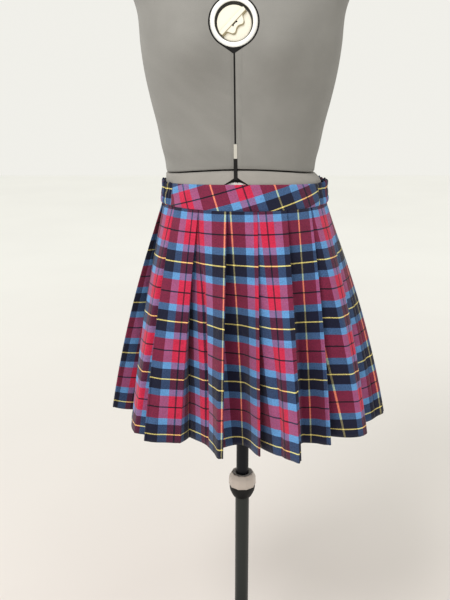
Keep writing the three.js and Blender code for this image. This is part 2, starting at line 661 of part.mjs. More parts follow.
add(stand, "base", baseDisc(), steel);

export default whole;
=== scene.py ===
import bisect
import math

import bmesh
import bpy
from mathutils import Matrix, Vector


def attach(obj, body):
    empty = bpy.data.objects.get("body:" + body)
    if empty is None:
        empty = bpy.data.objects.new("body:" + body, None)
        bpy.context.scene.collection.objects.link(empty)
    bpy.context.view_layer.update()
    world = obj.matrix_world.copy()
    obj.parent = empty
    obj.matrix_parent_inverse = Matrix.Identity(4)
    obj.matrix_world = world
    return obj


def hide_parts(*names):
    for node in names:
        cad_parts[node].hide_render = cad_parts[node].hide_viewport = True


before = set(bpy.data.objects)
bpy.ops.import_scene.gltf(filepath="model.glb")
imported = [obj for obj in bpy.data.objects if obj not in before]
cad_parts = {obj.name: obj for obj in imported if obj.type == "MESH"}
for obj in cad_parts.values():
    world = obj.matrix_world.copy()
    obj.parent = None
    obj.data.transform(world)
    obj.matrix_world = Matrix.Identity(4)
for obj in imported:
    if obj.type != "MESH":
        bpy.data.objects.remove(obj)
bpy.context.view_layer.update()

print("frame loaded:", len(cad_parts), "nodes")


# small helpers
def mix(a, b, t):
    return a + (b - a) * t


def mixPoint(a, b, t):
    return tuple(mix(x, y, t) for x, y in zip(a, b))


def smooth(t):
    t = min(1, max(0, t))
    return t * t * (3 - 2 * t)


def bump(x, middle, width):
    # 1 at the middle, fading to both sides
    return math.exp(-(((x - middle) / width) ** 2))


def table(keys, rows):
    # rows of values as dictionaries; the last keys may be left out
    return [dict(zip(keys.split(), row)) for row in rows]


def reshape(piece, change):
    # lets a function change a piece's mesh
    shape = bmesh.new()
    shape.from_mesh(piece.data)
    change(shape)
    shape.to_mesh(piece.data)
    shape.free()


def softShade(piece, angle):
    # smooth faces, with edges sharper than the angle kept crisp
    def change(shape):
        for face in shape.faces:
            face.smooth = True
        for edge in shape.edges:
            edge.smooth = edge.calc_face_angle(0) < math.radians(angle)

    reshape(piece, change)


def faceOutwards(piece):
    reshape(piece, lambda shape: bmesh.ops.recalc_face_normals(shape, faces=shape.faces))


def makePiece(name, points, faces, material, uvs=None, smoothAngle=40):
    mesh = bpy.data.meshes.new(name)
    mesh.from_pydata(points, [], faces)
    mesh.validate()
    if uvs:
        layer = mesh.uv_layers.new(name="cloth")
        for loop in mesh.loops:
            layer.data[loop.index].uv = uvs[loop.vertex_index]
    piece = bpy.data.objects.new(name, mesh)
    bpy.context.scene.collection.objects.link(piece)
    mesh.materials.append(material)
    softShade(piece, smoothAngle)
    return piece


def gridFaces(rows, columns):
    # quads of a grid of points, facing outwards when rows run down and columns run anticlockwise
    starts = [r * columns + c for r in range(rows - 1) for c in range(columns - 1)]
    return [(a, a + columns, a + columns + 1, a + 1) for a in starts]


def thicken(piece, thickness, groupName=None):
    shell = piece.modifiers.new("thickness", "SOLIDIFY")
    shell.thickness = thickness
    shell.offset = 0
    if groupName:
        shell.vertex_group = groupName
        shell.thickness_vertex_group = 0


def softenEdges(piece, width, segments=2):
    bevel = piece.modifiers.new("soft edges", "BEVEL")
    bevel.width = width
    bevel.segments = segments
    bevel.limit_method = "ANGLE"
    bevel.angle_limit = math.radians(30)


def settle(piece, body, slot, *nodes):
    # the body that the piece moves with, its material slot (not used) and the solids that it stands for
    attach(piece, body)
    if nodes:
        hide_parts(*nodes)
    return piece


def turnedPoints(profile, steps):
    # a profile of (radius, height) turned about Z; radius 0 gives one point
    points, rings, faces = [], [], []
    turns = [2 * math.pi * i / steps for i in range(steps)]
    for radius, height in profile:
        around = turns if radius else [0]
        rings.append(range(len(points), len(points) + len(around)))
        points += [(radius * math.cos(turn), radius * math.sin(turn), height) for turn in around]
    for a, b in zip(rings, rings[1:]):
        for i in range(steps):
            j = (i + 1) % steps
            corners = [a[i % len(a)], a[j % len(a)], b[j % len(b)], b[i % len(b)]]
            faces.append(tuple(dict.fromkeys(corners)))
    return points, [face for face in faces if len(face) > 2]


def turnedPiece(name, profile, material, steps=96, place=None, edge=0.0004):
    if profile[0][0] > 0:
        profile = [*profile, profile[0]]
    piece = makePiece(name, *turnedPoints(profile, steps), material)
    reshape(piece, lambda shape: bmesh.ops.remove_doubles(shape, verts=shape.verts, dist=1e-7))
    faceOutwards(piece)
    softShade(piece, 35)
    if place:
        piece.data.transform(place)
    if edge:
        softenEdges(piece, edge)
    return piece


# node helpers
def newGroup(name, inputs, outputs):
    # inputs by name with their first values; an output whose name ends in Color is a colour
    kinds = {3: "NodeSocketVector", 4: "NodeSocketColor"}
    group = bpy.data.node_groups.new(name, "ShaderNodeTree")
    for label, value in inputs.items():
        kind = kinds[len(value)] if isinstance(value, tuple) else "NodeSocketFloat"
        group.interface.new_socket(label, in_out="INPUT", socket_type=kind).default_value = value
    for label in outputs:
        kind = "NodeSocketColor" if label.endswith("Color") else "NodeSocketFloat"
        group.interface.new_socket(label, in_out="OUTPUT", socket_type=kind)
    return group, group.nodes.new("NodeGroupInput").outputs, group.nodes.new("NodeGroupOutput")


def feed(tree, node, values):
    # each input takes a link or a plain value
    for label, value in values.items():
        if isinstance(value, bpy.types.NodeSocket):
            tree.links.new(value, node.inputs[label])
        elif value is not None:
            node.inputs[label].default_value = value


def addNode(tree, kind, values, **settings):
    node = tree.nodes.new("ShaderNode" + kind)
    for setting, value in settings.items():
        setattr(node, setting, value)
    feed(tree, node, values)
    return node


def addMath(tree, operation, a, b=None, c=None, clamp=False):
    return addNode(tree, "Math", {0: a, 1: b, 2: c}, operation=operation, use_clamp=clamp).outputs[0]


def addMix(tree, factor, a, b):
    return addNode(tree, "Mix", {0: factor, 6: a, 7: b}, data_type="RGBA").outputs[2]


def addNoise(tree, vector, scale, detail=3, roughness=0.55):
    values = {"Vector": vector, "Scale": scale, "Detail": detail, "Roughness": roughness}
    return addNode(tree, "TexNoise", values).outputs["Fac"]


def addRange(tree, value, low, high, newLow, newHigh):
    values = {"Value": value, "From Min": low, "From Max": high, "To Min": newLow, "To Max": newHigh}
    return addNode(tree, "MapRange", values).outputs[0]


def addGamma(tree, colour, power):
    return addNode(tree, "Gamma", {"Color": colour, "Gamma": power}).outputs[0]


def addScale(tree, vector, factor):
    # a vector or a colour times a number
    return addNode(tree, "VectorMath", {0: vector, "Scale": factor}, operation="SCALE").outputs[0]


def addSplit(tree, vector):
    return addNode(tree, "SeparateXYZ", {0: vector}).outputs


def placeGroup(tree, group, values):
    return addNode(tree, "Group", values, node_tree=group)


def fromScreen(red, green, blue):
    # a colour as a screen shows it, made linear
    shares = [v / 255 for v in (red, green, blue)]
    return (*[v / 12.92 if v < 0.0404 else ((v + 0.055) / 1.055) ** 2.4 for v in shares], 1)


# shared effects
stripeLooks = {
    "yellow": fromScreen(255, 232, 128),
    "navy": fromScreen(19, 22, 45),
    "blue": fromScreen(93, 145, 198),
    "red": fromScreen(193, 38, 71),
    "black": fromScreen(17, 11, 25),
    "warpSett": 0.0915,  # from one yellow line to the next
    "weftSett": 0.096,
    "warpLine": 0.0011,  # half the width of the fine yellow lines
    "weftLine": 0.0008,
    "warpNavy": 0.0213,  # half the navy stripe round each yellow line
    "warpBlue": 0.0135,
    "weftNavy": 0.0172,
    "weftBlue": 0.0113,
    "weftShare": 0.60,  # how much of the weft shows on the face
    "blackLine": 0.0013,
    "weftCover": 0.19,  # how much more the thick threads of the fine lines cover
    "warpCover": 0.10,
    "depth": 0.25,  # how far the threads' colours blend: lower is darker
}


def makeTartanStripes():
    # the colours of the warp and the weft at a place on the flat cloth, in metres from a yellow line
    looks = stripeLooks
    group, given, results = newGroup("tartanStripes", {"Warp Place": 0, "Weft Place": 0},
                                     ["Warp Color", "Weft Color", "Warp Line", "Weft Line"])
    for way, label in (("warp", "Warp"), ("weft", "Weft")):
        half = looks[way + "Sett"] / 2
        turns = addMath(group, "DIVIDE", given[label + " Place"], looks[way + "Sett"])
        shifted = addMath(group, "FRACT", addMath(group, "ADD", turns, 100.5))
        aside = addMath(group, "ABSOLUTE", addMath(group, "SUBTRACT", shifted, 0.5))
        ramp = addNode(group, "ValToRGB", {0: addMath(group, "MULTIPLY", aside, 2)})
        ramp.color_ramp.interpolation = "CONSTANT"
        navyEnd = looks[way + "Navy"] / half
        stops = [
            (0, "yellow"),
            (looks[way + "Line"] / half, "navy"),
            (navyEnd, "blue"),
            (navyEnd + looks[way + "Blue"] / half, "red"),
            (1 - looks["blackLine"] / half, "black"),
        ]
        elements = ramp.color_ramp.elements
        while len(elements) < len(stops):
            elements.new(0.5)
        for element, (place, colour) in zip(elements, stops):
            element.position = place
            element.color = (*looks[colour][:3], {"yellow": 1, "black": 0.7}.get(colour, 0))
        found = ramp.outputs
        feed(group, results, {label + " Color": found["Color"], label + " Line": found["Alpha"]})
    return group


def makeTwillWeave():
    # twill: warp over two and under two; the mask is where the weft shows
    inputs = {"Vector": (0, 0, 0), "Thread Pitch": 0.0005, "Weft Share": 0.5, "Contrast": 0.3}
    group, given, results = newGroup("twillWeave", inputs, ["Weft Mask", "Height", "Slub"])
    warp, weft = [addMath(group, "DIVIDE", place, given["Thread Pitch"])
                  for place in addSplit(group, given["Vector"])[:2]]
    slanting = addMath(group, "MULTIPLY", addMath(group, "ADD", warp, weft), math.pi / 2)
    diagonal = addMath(group, "SINE", slanting)
    threads = [addMath(group, "SINE", addMath(group, "MULTIPLY", way, math.pi * 2)) for way in (warp, weft)]
    relief = addMath(group, "MULTIPLY_ADD", addMath(group, "ADD", *threads), 0.35, diagonal)
    swing = addMath(group, "MULTIPLY", diagonal, given["Contrast"])
    slub = addNoise(group, given["Vector"], 700, 2)
    uneven = addMath(group, "MULTIPLY", addMath(group, "SUBTRACT", slub, 0.5), 0.48)
    share = addMath(group, "ADD", addMath(group, "ADD", given["Weft Share"], swing), uneven, clamp=True)
    feed(group, results, {"Weft Mask": share, "Height": addMath(group, "ADD", relief, slub),
                          "Slub": addNoise(group, given["Vector"], 60, 4)})
    return group


def makeWovenTartan():
    # the stripes woven together: the cloth's faded and flecked colour, and its relief of threads and puckers
    looks = {"pitch": 0.00062, "contrast": 0.16, "fade": 0.14, "fleck": 0.30, "threads": 0.22, "pucker": 5.0,
             "crinkle": 3.6}
    group, given, results = newGroup("wovenTartan", {"Vector": (0, 0, 0), "Warp From": 0, "Weft From": 0},
                                     ["Color", "Height"])
    flat = given["Vector"]
    across, down = addSplit(group, flat)[:2]
    stripes = placeGroup(group, tartanStripes, {
        "Warp Place": addMath(group, "SUBTRACT", across, given["Warp From"]),
        "Weft Place": addMath(group, "SUBTRACT", down, given["Weft From"]),
    }).outputs
    threads = stripeLooks
    weave = placeGroup(group, twillWeave, {"Vector": flat, "Thread Pitch": looks["pitch"],
                                           "Weft Share": threads["weftShare"],
                                           "Contrast": looks["contrast"]}).outputs
    share = addMath(group, "MULTIPLY_ADD", stripes["Weft Line"], threads["weftCover"], weave["Weft Mask"])
    share = addMath(group, "MULTIPLY_ADD", stripes["Warp Line"], -threads["warpCover"], share, clamp=True)
    depth = threads["depth"]
    softened = [addGamma(group, stripes[way + " Color"], depth) for way in ("Warp", "Weft")]
    woven = addGamma(group, addMix(group, share, *softened), 1 / depth)
    fade = addRange(group, weave["Slub"], 0.2, 0.8, 1 - looks["fade"], 1 + looks["fade"])
    fleck = addRange(group, addNoise(group, flat, 560, 2, 0.7), 0.25, 0.75, -looks["fleck"], looks["fleck"])
    relief = addMath(group, "MULTIPLY", weave["Height"], looks["threads"])
    relief = addMath(group, "MULTIPLY_ADD", weave["Slub"], looks["pucker"], relief)
    relief = addMath(group, "MULTIPLY_ADD", addNoise(group, flat, 175, 3), looks["crinkle"], relief)
    feed(group, results, {"Color": addScale(group, woven, addMath(group, "ADD", fade, fleck)),
                          "Height": relief})
    return group


def makeFineKnit():
    # fine jersey: wales across, courses down, and a heathered yarn
    looks = {"wale": 0.0011, "course": 0.0009, "heather": 0.10, "cloud": 0.05}
    group, given, results = newGroup("fineKnit", {"Vector": (0, 0, 0), "Yarn Color": (0.3, 0.3, 0.3, 1)},
                                     ["Color", "Height"])
    flat = given["Vector"]
    places = addSplit(group, flat)
    across, down = [addMath(group, "SINE", addMath(group, "MULTIPLY", place, 2 * math.pi / looks[size]))
                    for place, size in zip(places, ("wale", "course"))]
    heather = addNoise(group, flat, 1100, 2)
    shade = addRange(group, heather, 0.25, 0.75, -looks["heather"], looks["heather"])
    cloud = addRange(group, addNoise(group, flat, 22, 3), 0.3, 0.7, 1 - looks["cloud"], 1 + looks["cloud"])
    feed(group, results, {
        "Color": addScale(group, given["Yarn Color"], addMath(group, "ADD", shade, cloud)),
        "Height": addMath(group, "MULTIPLY_ADD", down, 0.5, addMath(group, "ADD", across, heather)),
    })
    return group


def makeWornSurface():
    # moulded plastic or lacquer: uneven gloss, faint scratches, rubbed or dusty patches and a fine grain
    inputs = {"Vector": (0, 0, 0), "Base Color": (0.5, 0.5, 0.5, 1), "Scale": 30, "Patches": 0.1,
              "Scratches": 0.1, "Roughness": 0.4}
    group, given, results = newGroup("wornSurface", inputs, ["Color", "Roughness", "Height"])
    place = addScale(group, given["Vector"], given["Scale"])
    cloud = addMath(group, "SUBTRACT", addNoise(group, place, 1, 4), 0.5)
    patch = addMath(group, "MULTIPLY", cloud, given["Patches"])
    stretched = addNode(group, "Mapping", {"Vector": place, "Scale": (1, 1, 14)}).outputs[0]
    scratch = addMath(group, "POWER", addNoise(group, stretched, 9, 2), 5)
    shade = addMath(group, "MULTIPLY_ADD", scratch, given["Scratches"], addMath(group, "ADD", patch, 1))
    feed(group, results, {
        "Color": addScale(group, given["Base Color"], shade),
        "Roughness": addMath(group, "MULTIPLY_ADD", patch, 1.5, given["Roughness"], clamp=True),
        "Height": addNoise(group, place, 40, 2),
    })
    return group


tartanStripes = makeTartanStripes()
twillWeave = makeTwillWeave()
wovenTartan = makeWovenTartan()
fineKnit = makeFineKnit()
wornSurface = makeWornSurface()


def newMaterial(name):
    material = bpy.data.materials.new(name)
    material.use_nodes = True
    return material, material.node_tree, material.node_tree.nodes["Principled BSDF"]


def addBump(tree, shader, height, distance, strength):
    bumps = addNode(tree, "Bump", {"Strength": strength, "Distance": distance, "Height": height})
    feed(tree, shader, {"Normal": bumps.outputs[0]})


def clothMaterial(name, group, values, roughness, sheen, relief):
    # values are the group's own inputs; the cloth's flat coordinates go in as its vector
    material, tree, shader = newMaterial(name)
    flat = addNode(tree, "UVMap", {}, uv_map="cloth").outputs[0]
    cloth = placeGroup(tree, group, {"Vector": flat, **values}).outputs
    feed(tree, shader, {"Base Color": cloth["Color"], "Roughness": roughness, "Specular IOR Level": 0.22,
                        "Sheen Weight": sheen, "Sheen Roughness": 0.5})
    addBump(tree, shader, cloth["Height"], relief, 0.6)
    return material


def makeTartanCloth(name, warpFrom=0.0, weftFrom=0.0):
    # warpFrom and weftFrom: where a yellow line lies on this piece's own flat coordinates
    places = {"Warp From": warpFrom, "Weft From": weftFrom}
    return clothMaterial(name, wovenTartan, places, 0.9, 0.12, 0.0005)


def makeJersey(name, *colour):
    return clothMaterial(name, fineKnit, {"Yarn Color": fromScreen(*colour)}, 0.92, 0.15, 0.00009)


def makeHardSurface(name, colour, scale, patch, scratch, roughness, grain, shine=0.5, metal=0, coat=0,
                    milk=0):
    material, tree, shader = newMaterial(name)
    place = addNode(tree, "TexCoord", {}).outputs["Object"]
    wear = placeGroup(tree, wornSurface, {"Vector": place, "Base Color": fromScreen(*colour), "Scale": scale,
                                          "Patches": patch, "Scratches": scratch,
                                          "Roughness": roughness}).outputs
    feed(tree, shader, {"Base Color": wear["Color"], "Roughness": wear["Roughness"], "Metallic": metal,
                        "Coat Weight": coat, "Transmission Weight": milk, "Specular IOR Level": shine})
    addBump(tree, shader, wear["Height"], grain, 0.4)
    return material


skirtCloth = makeTartanCloth("skirtCloth", weftFrom=-0.0835)
bandCloth = makeTartanCloth("bandCloth", warpFrom=0.0531, weftFrom=0.0110)
elasticCloth = makeTartanCloth("elasticCloth", warpFrom=0.052, weftFrom=-0.030)
chestJersey = makeJersey("chestJersey", 135, 133, 129)
hipJersey = makeJersey("hipJersey", 149, 145, 140)
# patch and scratch: how far the colour wanders; grain: the height of the fine bumps, in metres
hardLooks = table("name colour scale patch scratch roughness grain shine metal coat milk", [
    ("blackPlastic", (19, 18, 18), 40, 0.12, 0.5, 0.55, 0.00005, 0.22),
    ("wellPlastic", (84, 82, 76), 40, 0.08, 0.3, 0.6, 0.00005),
    ("whitePlastic", (244, 243, 239), 40, 0.03, -0.08, 0.3, 0.00002, 0.5, 0, 0.15),
    ("creamPlastic", (240, 234, 218), 50, 0.04, -0.1, 0.4, 0.00003),
    # the next row is a darker tan copy of the cream plastic: painted shade for the knob's side walls
    ("tanPlastic", (178, 166, 134), 50, 0.05, -0.1, 0.5, 0.00003),
    ("paleClip", (190, 186, 176), 50, 0.05, -0.1, 0.45, 0.00003),
    ("darkSteel", (43, 46, 44), 35, 0.16, 0.8, 0.36, 0.00002, 0.45, 0.5),
    ("upperSteel", (22, 23, 28), 35, 0.16, 0.8, 0.42, 0.00002, 0.2, 0.3),
    ("milkyPlastic", (216, 203, 193), 60, 0.06, -0.05, 0.24, 0.00002, 0.5, 0, 0, 0.2),
    ("greyRing", (132, 128, 124), 50, 0.06, 0.2, 0.4, 0.00003),
    ("threadDark", (30, 30, 44), 300, 0.2, 0.3, 0.8, 0.00003),
])
(blackPlastic, wellPlastic, whitePlastic, creamPlastic, tanPlastic, paleClip, darkSteel, upperSteel,
 milkyPlastic, greyRing, threadDark) = [makeHardSurface(**looks) for looks in hardLooks]
print("materials made")


# skirt
skirtShape = {
    "seamHeight": 0.996,  # the seam under the waistband
    "length": 0.386,  # seam to hem
    "halfWidth": 0.135,  # of the waist at the seam
    "halfDepth": 0.102,
    "layer": 0.0008,  # between folded layers at the seam
    "face": 0.047,  # the width of a pleat, and how far it is folded under
    "under": 0.0415,
    "besideUnder": 0.022,  # the fold next to the turned pleat is shallower at the seam
    "firstCrease": 0.0025,  # flat place of crease 3, from a yellow line
    "firstAlong": -0.0298,  # and its place round the waist from the centre front
    "creaseTop": 0.0004,  # a crease is pressed sharp at the top and softer at the hem
    "creaseHem": 0.0024,
    "cloth": 0.0005,
    "hemDepth": 0.021,
    "rows": 66,
    "turnedPleat": 1,  # folded the other way, with its own depth and its own flat length under
    "turnedUnder": 0.020,
    "turnedFlat": 0.0775,
    "lagOuter": 1.0,  # how much later than the outer creases the rest swings out
    "lagFace": 1.06,
    "lagInner": 2.0,
    "seamBeforeCrease": 0.0225,
    "matchEase": 0.0353,  # the turned pleat takes this much less cloth, to bring a chosen stripe to the side
    "gap": 0.0003,
}
# where each pleat hangs at the hem, from above: outer crease, inner crease and middle of the face after it
hemPlaces = table("pleat out inner face", [
    (1, (-0.184, -0.090), (-0.147, -0.093), (-0.165, -0.119)),
    (2, (-0.106, -0.115), (-0.092, -0.090), (-0.063, -0.121)),
    (3, (-0.036, -0.180), (-0.043, -0.144), (-0.007, -0.118)),
    (4, (0.023, -0.167), (0.018, -0.122), (0.054, -0.171)),
    (5, (0.084, -0.204), (0.085, -0.160), (0.095, -0.116)),
    (6, (0.140, -0.132), (0.133, -0.094), (0.186, -0.112)),
    (7, (0.205, -0.090), (0.174, -0.066), (0.211, -0.051)),
    (8, (0.247, -0.026), (0.210, -0.010), (0.228, 0.026)),
    (9, (0.232, 0.066), (0.192, 0.052), (0.196, 0.090)),
    (10, (0.182, 0.134), (0.158, 0.098), (0.138, 0.133)),
    (11, (0.104, 0.168), (0.098, 0.127), (0.066, 0.152)),
    (12, (0.022, 0.181), (0.025, 0.138), (-0.012, 0.150)),
    (13, (-0.060, 0.177), (-0.051, 0.136), (-0.088, 0.144)),
    (14, (-0.136, 0.152), (-0.118, 0.115), (-0.155, 0.110)),
    (15, (-0.203, 0.098), (-0.170, 0.072), (-0.207, 0.050)),
    (16, (-0.233, 0.002), (-0.193, 0.010), (-0.196, -0.034)),
])
# soft troughs (-) and ridges (+) pressed into the faces: across is from the face's inner crease to
# its outer one, top and bottom are shares of the length, and lean moves the fold across on its way down
softFolds = table("pleat across width top bottom depth lean", [
    (2, 0.50, 0.05, 0.22, 1.00, -0.0068, 0.02),
    (2, 0.503, 0.022, 0.20, 1.00, -0.0075, 0.0),
    (4, 0.51, 0.05, 0.50, 1.10, -0.0045, 0.0),
    (5, 0.53, 0.05, 0.30, 1.05, -0.0040, 0.0),
    (12, 0.52, 0.05, 0.25, 1.00, -0.0050, 0.0),
    (1, 0.34, 0.10, 0.20, 0.80, -0.0016, 0.10),
    (1, 0.66, 0.09, 0.45, 1.10, 0.0020, -0.05),
    (2, 0.62, 0.08, 0.12, 0.60, -0.0011, 0.04),
    (2, 0.74, 0.11, 0.48, 1.10, 0.0026, 0.03),
    (3, 0.60, 0.07, 0.30, 0.95, -0.0018, 0.08),
    (3, 0.82, 0.07, 0.40, 1.10, 0.0016, -0.06),
    (4, 0.58, 0.09, 0.10, 0.55, -0.0010, -0.04),
    (4, 0.72, 0.10, 0.50, 1.10, 0.0024, 0.06),
    (5, 0.64, 0.08, 0.22, 0.75, -0.0015, 0.07),
    (5, 0.80, 0.09, 0.55, 1.10, -0.0020, -0.03),
    (6, 0.56, 0.08, 0.25, 0.90, 0.0014, 0.05),
    (6, 0.76, 0.07, 0.35, 1.05, -0.0019, 0.02),
    (7, 0.66, 0.09, 0.30, 1.10, 0.0020, -0.07),
    (8, 0.60, 0.10, 0.15, 0.70, -0.0013, 0.06),
    (8, 0.77, 0.08, 0.50, 1.10, 0.0022, 0.02),
    (9, 0.63, 0.09, 0.28, 0.92, -0.0018, -0.05),
    (10, 0.70, 0.08, 0.18, 0.66, 0.0012, 0.05),
    (10, 0.58, 0.09, 0.55, 1.10, -0.0022, 0.04),
    (11, 0.75, 0.10, 0.32, 1.05, 0.0019, -0.06),
    (12, 0.61, 0.07, 0.14, 0.58, -0.0012, 0.03),
    (12, 0.79, 0.09, 0.50, 1.10, -0.0021, 0.05),
    (13, 0.67, 0.10, 0.26, 0.95, 0.0018, 0.07),
    (14, 0.59, 0.08, 0.22, 0.70, -0.0014, -0.04),
    (14, 0.76, 0.08, 0.52, 1.10, 0.0023, -0.02),
    (15, 0.68, 0.09, 0.35, 1.05, -0.0019, 0.06),
    (16, 0.64, 0.09, 0.20, 0.75, 0.0013, 0.05),
    (16, 0.50, 0.08, 0.50, 1.10, -0.0018, -0.04),
])
# towards the hem some crests are blunt: the face swells outwards beside the crease
bluntCrests = table("pleat across width depth", [
    (2, 0.885, 0.080, 0.0090),
    (3, 0.900, 0.070, 0.0052),
    (4, 0.880, 0.080, 0.0088),
    (5, 0.900, 0.060, 0.0024),
    (7, 0.900, 0.070, 0.0036),
    (8, 0.890, 0.070, 0.0030),
    (10, 0.890, 0.080, 0.0054),
    (11, 0.900, 0.070, 0.0040),
    (13, 0.885, 0.075, 0.0046),
    (14, 0.900, 0.080, 0.0050),
])
pleatCount = len(hemPlaces)
pleatFlat = skirtShape["face"] + 2 * skirtShape["under"]
waistRound = pleatCount * skirtShape["face"]


def waistTable():
    # angle and length so far round the waist's ellipse, from the centre front
    shape = skirtShape
    steps = 720
    rows, length, last = [], 0, None
    for i in range(steps + 1):
        angle = -math.pi / 2 + 2 * math.pi * i / steps
        here = (shape["halfWidth"] * math.cos(angle), shape["halfDepth"] * math.sin(angle))
        length += math.dist(here, last) if last else 0
        rows.append((length, angle))
        last = here
    return rows


waistRows = waistTable()
waistLengths = [row[0] for row in waistRows]


def aroundWaist(along, out):
    goal = (along / waistRound) % 1 * waistLengths[-1]
    i = max(1, bisect.bisect_left(waistLengths, goal))
    low, high = waistRows[i - 1], waistRows[i]
    angle = mix(low[1], high[1], (goal - low[0]) / (high[0] - low[0]))
    halfWidth, halfDepth = skirtShape["halfWidth"], skirtShape["halfDepth"]
    normal = Vector((halfDepth * math.cos(angle), halfWidth * math.sin(angle))).normalized() * out
    return halfWidth * math.cos(angle) + normal.x, halfDepth * math.sin(angle) + normal.y


def pleatRow(n):
    return hemPlaces[(n - 1) % pleatCount]


def creaseAlong(n):
    return skirtShape["firstAlong"] + (n - 3) * skirtShape["face"]


def creaseFlat(n):
    return skirtShape["firstCrease"] + (n - 3) * pleatFlat


def station(n, flat, along, layer, hem, lag, turn=None, across=None):
    # one place across the cloth; turn is how far round a crease's edge it lies, across its place on a face
    shape = skirtShape
    seam = aroundWaist(creaseAlong(n) + along, (layer - 2) * shape["layer"])
    drop = math.sqrt(shape["length"] ** 2 - math.dist(hem, seam) ** 2)
    return dict(flat=creaseFlat(n) + flat, seam=seam, hem=hem, lag=lag, drop=drop, turn=turn,
                pleat=pleatRow(n)["pleat"], across=across)


def creaseStations(n, flat, along, layer, hem, lag):
    radius = skirtShape["creaseTop"]
    turns = (0, math.pi / 4, math.pi / 2, 3 * math.pi / 4, math.pi)
    return [station(n, flat - radius * math.cos(t), along, layer, hem, lag, turn=t) for t in turns]


def curveThrough(a, b, c, middle, t):
    # the parabola from a to c that passes b at its middle
    wa = (t - middle) * (t - 1) / middle
    wb = t * (t - 1) / (middle * (middle - 1))
    wc = t * (t - middle) / (1 - middle)
    return tuple(wa * a[k] + wb * b[k] + wc * c[k] for k in (0, 1))


# places across a face with the part before it, and across the part that goes under
faceSteps = (0.05, 0.11, 0.18, 0.26, 0.34, 0.42, 0.475, 0.488, 0.502, 0.520, 0.55, 0.585, 0.62, 0.66, 0.70,
             0.74, 0.78, 0.82, 0.86, 0.90, 0.935, 0.965)
underSteps = (0.10, 0.24, 0.38, 0.5, 0.62, 0.76, 0.90)


def turnedPleatStations(n, row, following):
    shape = skirtShape
    flat = shape["turnedFlat"]
    under, inner, face = shape["turnedUnder"], row["inner"], row["face"]
    begin = -0.0009  # it goes under just before its crease
    places = [station(n, 0, begin, 0, row["out"], shape["lagFace"])]
    for t in underSteps:
        places.append(station(n, mix(0, flat / 2, t), mix(begin, under, t), 0.12 * t,
                              mixPoint(row["out"], inner, t), mix(shape["lagFace"], shape["lagInner"], t)))
    places += creaseStations(n, flat / 2, under, 0.5, inner, shape["lagInner"])
    for t in underSteps:
        places.append(station(n, mix(flat / 2, flat, t), mix(under, 0, t), mix(0.9, 1.1, t),
                              mixPoint(inner, face, t), mix(shape["lagInner"], shape["lagOuter"], t)))
    places += creaseStations(n, flat, 0, 1.5, face, shape["lagOuter"])
    for t in faceSteps:
        layer = 1.5 + 0.5 * smooth(t / 0.12) * smooth((1 - t) / 0.12)
        places.append(station(n, mix(flat, pleatFlat, t), shape["face"] * t, layer,
                              mixPoint(face, following["out"], t), shape["lagOuter"], across=0.5 + t / 2))
    return places


def pleatStations(n):
    shape = skirtShape
    row, following = pleatRow(n), pleatRow(n + 1)
    if row["pleat"] == shape["turnedPleat"]:
        return turnedPleatStations(n, row, following)
    out, inner = row["out"], row["inner"]
    under = shape["besideUnder"] if row["pleat"] == shape["turnedPleat"] + 1 else shape["under"]
    places = creaseStations(n, 0, 0, 1.5, out, shape["lagOuter"])
    for t in underSteps:
        places.append(station(n, shape["under"] * t, -under * t, mix(1.1, 0.9, t), mixPoint(out, inner, t),
                              mix(shape["lagOuter"], shape["lagInner"], t)))
    places += creaseStations(n, shape["under"], -under, 0.5, inner, shape["lagInner"])
    long = shape["face"] + shape["under"]
    goesUnder = following["pleat"] == shape["turnedPleat"]
    for step in faceSteps:
        past = step * long - shape["under"]
        along = past * under / shape["under"] if past < 0 else past
        if past < 0:
            lag = mix(shape["lagInner"], shape["lagFace"], (step * long / shape["under"]) ** 2)
            layer = 0.12 * (1 - smooth(step / 0.1))
        else:
            lag = mix(shape["lagFace"], shape["lagOuter"], past / shape["face"])
            layer = 2 * smooth((past - 0.0005) / 0.0045)
            if goesUnder:
                layer *= 1 - smooth((past - 0.031) / 0.0145)
            else:
                layer -= 0.5 * smooth((past - shape["face"] + 0.006) / 0.006)
        hem = curveThrough(inner, row["face"], following["out"], shape["under"] / long, step)
        places.append(station(n, shape["under"] + step * long, along, layer, hem, lag, across=step))
    return places


def stationsBetween(start, end):
    first = math.floor((start - creaseFlat(0)) / pleatFlat) - 1
    last = math.ceil((end - creaseFlat(0)) / pleatFlat) + 1
    every = [place for n in range(first, last + 1) for place in pleatStations(n)]

    def cutAt(flat):
        i = next(i for i, place in enumerate(every) if place["flat"] > flat)
        a, b = every[i - 1], every[i]
        t = (flat - a["flat"]) / (b["flat"] - a["flat"])
        return dict(flat=flat, seam=mixPoint(a["seam"], b["seam"], t), hem=mixPoint(a["hem"], b["hem"], t),
                    lag=mix(a["lag"], b["lag"], t), drop=mix(a["drop"], b["drop"], t), turn=None,
                    pleat=a["pleat"], across=a["across"])

    inside = [place for place in every if start + 0.0007 < place["flat"] < end - 0.0007]
    return [cutAt(start), *inside, cutAt(end)]


def foldDepth(place, down):
    if place["across"] is None:
        return 0
    depth = 0
    for fold in softFolds:
        if fold["pleat"] != place["pleat"]:
            continue
        middle = (fold["top"] + fold["bottom"]) / 2
        reach = (fold["bottom"] - fold["top"]) / 2
        along = max(0, 1 - ((down - middle) / reach) ** 2)
        across = fold["across"] + fold["lean"] * (down - middle)
        depth += fold["depth"] * along * bump(place["across"], across, fold["width"])
    # a faint ripple of the hanging cloth, none at the creases
    edges = min(1, 2.3 * math.sin(math.pi * place["across"])) ** 2
    pleat = place["pleat"]
    ripple = math.sin(19 * down + 2.3 * pleat) * math.sin(11 * place["across"] + 1.7 * pleat)
    return depth * edges + 0.0007 * ripple * edges * down


